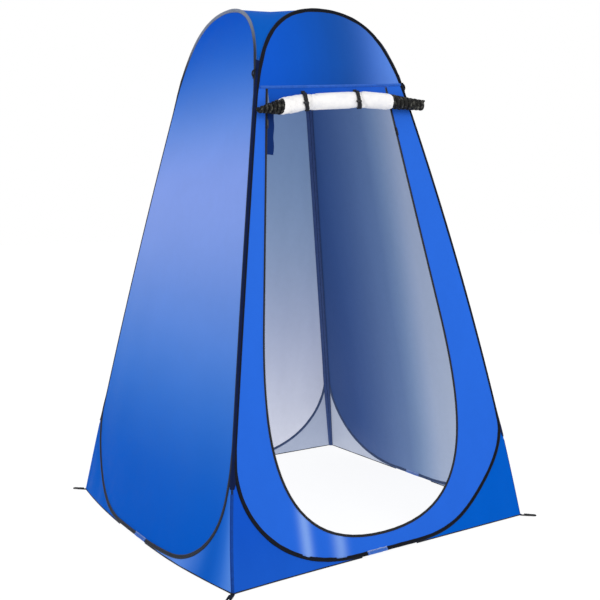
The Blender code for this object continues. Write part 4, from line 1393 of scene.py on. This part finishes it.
def make_peg_loop(corner, sx, sy):
    """A webbing loop folded flat at the foot of a corner, with the eye for a peg."""
    node = f"peg_loop_{corner}"
    joint = JOINTS[node]
    body = joint["child"]
    foot = np.array(joint["pos_m"]) + (0.0, 0.0, PEG_LIFT)
    if corner == DRIFT_CORNER:
        foot = foot + DRIFT
    out = np.array((sx, sy, 0.0)) / math.sqrt(2)
    beside = np.array((-sy, sx, 0.0)) / math.sqrt(2)
    up = np.array((0.0, 0.0, 1.0))
    turn = np.linspace(-math.pi / 2, math.pi / 2, 13)[1:-1]
    eye = PEG_LENGTH - PEG_HALF - 0.0035
    right = level_path(np.linspace(0.001, eye, 14), -PEG_HALF)
    bend = np.column_stack((eye + PEG_HALF * np.cos(turn), PEG_HALF * np.sin(turn)))
    flat = np.vstack((right, bend, right[::-1] * (1.0, -1.0)))

    base = foot + np.outer(np.linspace(0.0, PEG_SEWN, 8), out)
    under = foot - up * PEG_SUNK + np.outer(np.linspace(-PEG_ROOT, 0.0, 6), out)
    for kind, rider, path, replaced in (
            ("peg_webbing", body, foot + flat @ np.array((out, beside)), node),
            ("peg_pad", body, base, None), ("peg_root", joint["parent"], under, None)):
        sweep(f"{kind}_{corner}", rider, path, up, ribbon(kind), "webbing_black", "webbing",
              node=replaced)
    across = (-PEG_ROWS, PEG_ROWS)
    rows = [(base[1:-1] + beside * a + up * PEG_THREAD, up) for a in across]
    rows += [(foot + out * r + np.outer(across, beside) + up * PEG_THREAD, up)
             for r in (0.004, PEG_SEWN - 0.004)]
    add_stitches(f"peg_stitching_{corner}", rows, "thread_black", body)


def make_guy_loop(corner, side, sign):
    """A small braided loop on the outer face of the binding, high on a corner."""
    low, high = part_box(f"guy_loop_{corner}")
    v = (low.z + high.z) / 2 * SLOPE
    edge = sign * (edge_u(v) - HOOP_INSET)
    _, along, up, out = AXES[side]
    angles = np.linspace(0.0, math.pi, 25)
    arc = np.column_stack((np.cos(angles), np.sin(angles))) * GUY_HALF
    sweep(f"guy_cord_{corner}", side, place(side, (edge, v), BEAD_R * 0.7) + arc @ np.array((up, out)),
          along, circle(1.0, 8) * GUY_CORD, "cord_black", "cord", node=f"guy_loop_{corner}",
          scale=1.0 + 0.10 * np.sin(np.arange(25) * 2.2))
    rows = v + np.linspace(-GUY_TAB_HALF, GUY_TAB_HALF, 9)
    side_sweep(f"guy_tab_{corner}", side, np.column_stack((np.full(9, edge), rows)),
               ribbon("guy_tab"), "webbing_black", "webbing", w=BEAD_R + 0.0002)


# ---------------------------------------------------------------- stage

CAMERA_PLACE = (-1.8324, -2.9386, 1.1431)
CAMERA_AZIMUTH = math.radians(-32.6618)
CAMERA_ELEVATION = math.radians(5.3153)
CAMERA_ROLL = math.radians(-0.6334)
CAMERA_LENS = 52.536
FLOOR_HALF = 40.0
FLOOR_Z = -0.001
FLOOR_TONE = (0.16, 0.16, 0.16, 1.0)
FLOOR_GLOW = 0.90
WHITE = (1.0, 1.0, 1.0, 1.0)
WORLD_LIGHT = 0.85          # of the backdrop's own brightness
LAMPS = {"key": ((1.5, -4.5, 3.6), 2.5, 60.0), "fill": ((-4.5, 1.0, 3.0), 3.0, 25.0)}
TENT_MIDDLE = Vector((0.0, 0.0, 0.9))


def make_camera():
    """The camera looks from CAMERA_PLACE; azimuth 0 looks along +Y, roll turns the picture."""
    data = bpy.data.cameras.new("camera")
    data.lens = CAMERA_LENS
    data.sensor_width = 36.0
    camera = add_object("camera", data)
    a, e = CAMERA_AZIMUTH, CAMERA_ELEVATION
    back = Vector((math.sin(a) * math.cos(e), -math.cos(a) * math.cos(e), math.sin(e)))
    right = Vector((math.cos(a), math.sin(a), 0.0))
    up = back.cross(right)
    rolled_right = right * math.cos(CAMERA_ROLL) + up * math.sin(CAMERA_ROLL)
    rolled_up = up * math.cos(CAMERA_ROLL) - right * math.sin(CAMERA_ROLL)
    axes = Matrix((rolled_right, rolled_up, back)).transposed().to_4x4()
    camera.matrix_world = Matrix.Translation(CAMERA_PLACE) @ axes
    bpy.context.scene.camera = camera


def make_floor():
    """A wide pale floor that keeps only a faint shadow."""
    mesh = bpy.data.meshes.new("floor")
    square = [(x * FLOOR_HALF, y * FLOOR_HALF, FLOOR_Z) for x, y in ((-1, -1), (1, -1), (1, 1), (-1, 1))]
    mesh.from_pydata(square, [], [(0, 1, 2, 3)])
    look = Look("floor_pale", 0.9, 0.0)
    look.set("Emission Color", WHITE)
    look.set("Emission Strength", FLOOR_GLOW)
    mesh.materials.append(look.done(FLOOR_TONE))
    add_object("floor", mesh)


def add_softbox(name, spot, size, power):
    """A square lamp that faces the middle of the tent."""
    data = bpy.data.lights.new(name, "AREA")
    data.shape = "RECTANGLE"
    data.size = data.size_y = size
    data.energy = power
    facing = (TENT_MIDDLE - Vector(spot)).to_track_quat("-Z", "Y")
    add_object(name, data).matrix_world = Matrix.Translation(spot) @ facing.to_matrix().to_4x4()


def make_light():
    world = bpy.data.worlds.new("studio")
    bpy.context.scene.world = world
    world.use_nodes = True
    nodes, links = world.node_tree.nodes, world.node_tree.links
    shade = nodes["Background"]
    shade.inputs["Color"].default_value = WHITE
    path = nodes.new("ShaderNodeLightPath")
    level = nodes.new("ShaderNodeMapRange")
    level.inputs[3].default_value = WORLD_LIGHT
    level.inputs[4].default_value = 1.0
    links.new(path.outputs["Is Camera Ray"], level.inputs[0])
    links.new(level.outputs[0], shade.inputs["Strength"])
    for name, lamp in LAMPS.items():
        add_softbox(name, *lamp)
    bpy.context.scene.view_settings.view_transform = "Standard"


# ---------------------------------------------------------------- all together

for side in SIDES:
    make_binding(side)
    make_gores(side)
    make_roof(side)
    make_threads(side)
    if side != "front":
        make_plain_panel(side)
make_front_panels()
for corner in CORNERS:
    make_corner(corner)
make_header()
make_zip()
for side in ("left", "right"):
    finish_hard(f"zip_slider_{side}", "zip_lacquer_black")
    finish_hard(f"zip_pull_{side}", "zip_lacquer_black")
    finish_hard(f"tie_toggle_{side}", "toggle_plastic_black")
make_flap()
make_roll()
make_coil("roll_end_left", ROLL_WHITE[0] + 0.006, ROLL_ENDS[0], (0.0285, 0.0100), 6)
make_coil("roll_end_right", ROLL_WHITE[1] - 0.006, ROLL_ENDS[1], (0.0280, 0.0200), 8)
make_strip()
for side, x in zip(("left", "right"), TIE_X):
    make_tie(side, x)
for corner, sx, sy in (("front_left", -1, -1), ("front_right", 1, -1), ("back_left", -1, 1),
                       ("back_right", 1, 1)):
    make_peg_loop(corner, sx, sy)
for corner, side, sign in (("front_left", "left", 1), ("front_right", "right", -1),
                           ("back_right", "back", -1), ("back_left", "back", 1)):
    make_guy_loop(corner, side, sign)
make_camera()
make_floor()
make_light()
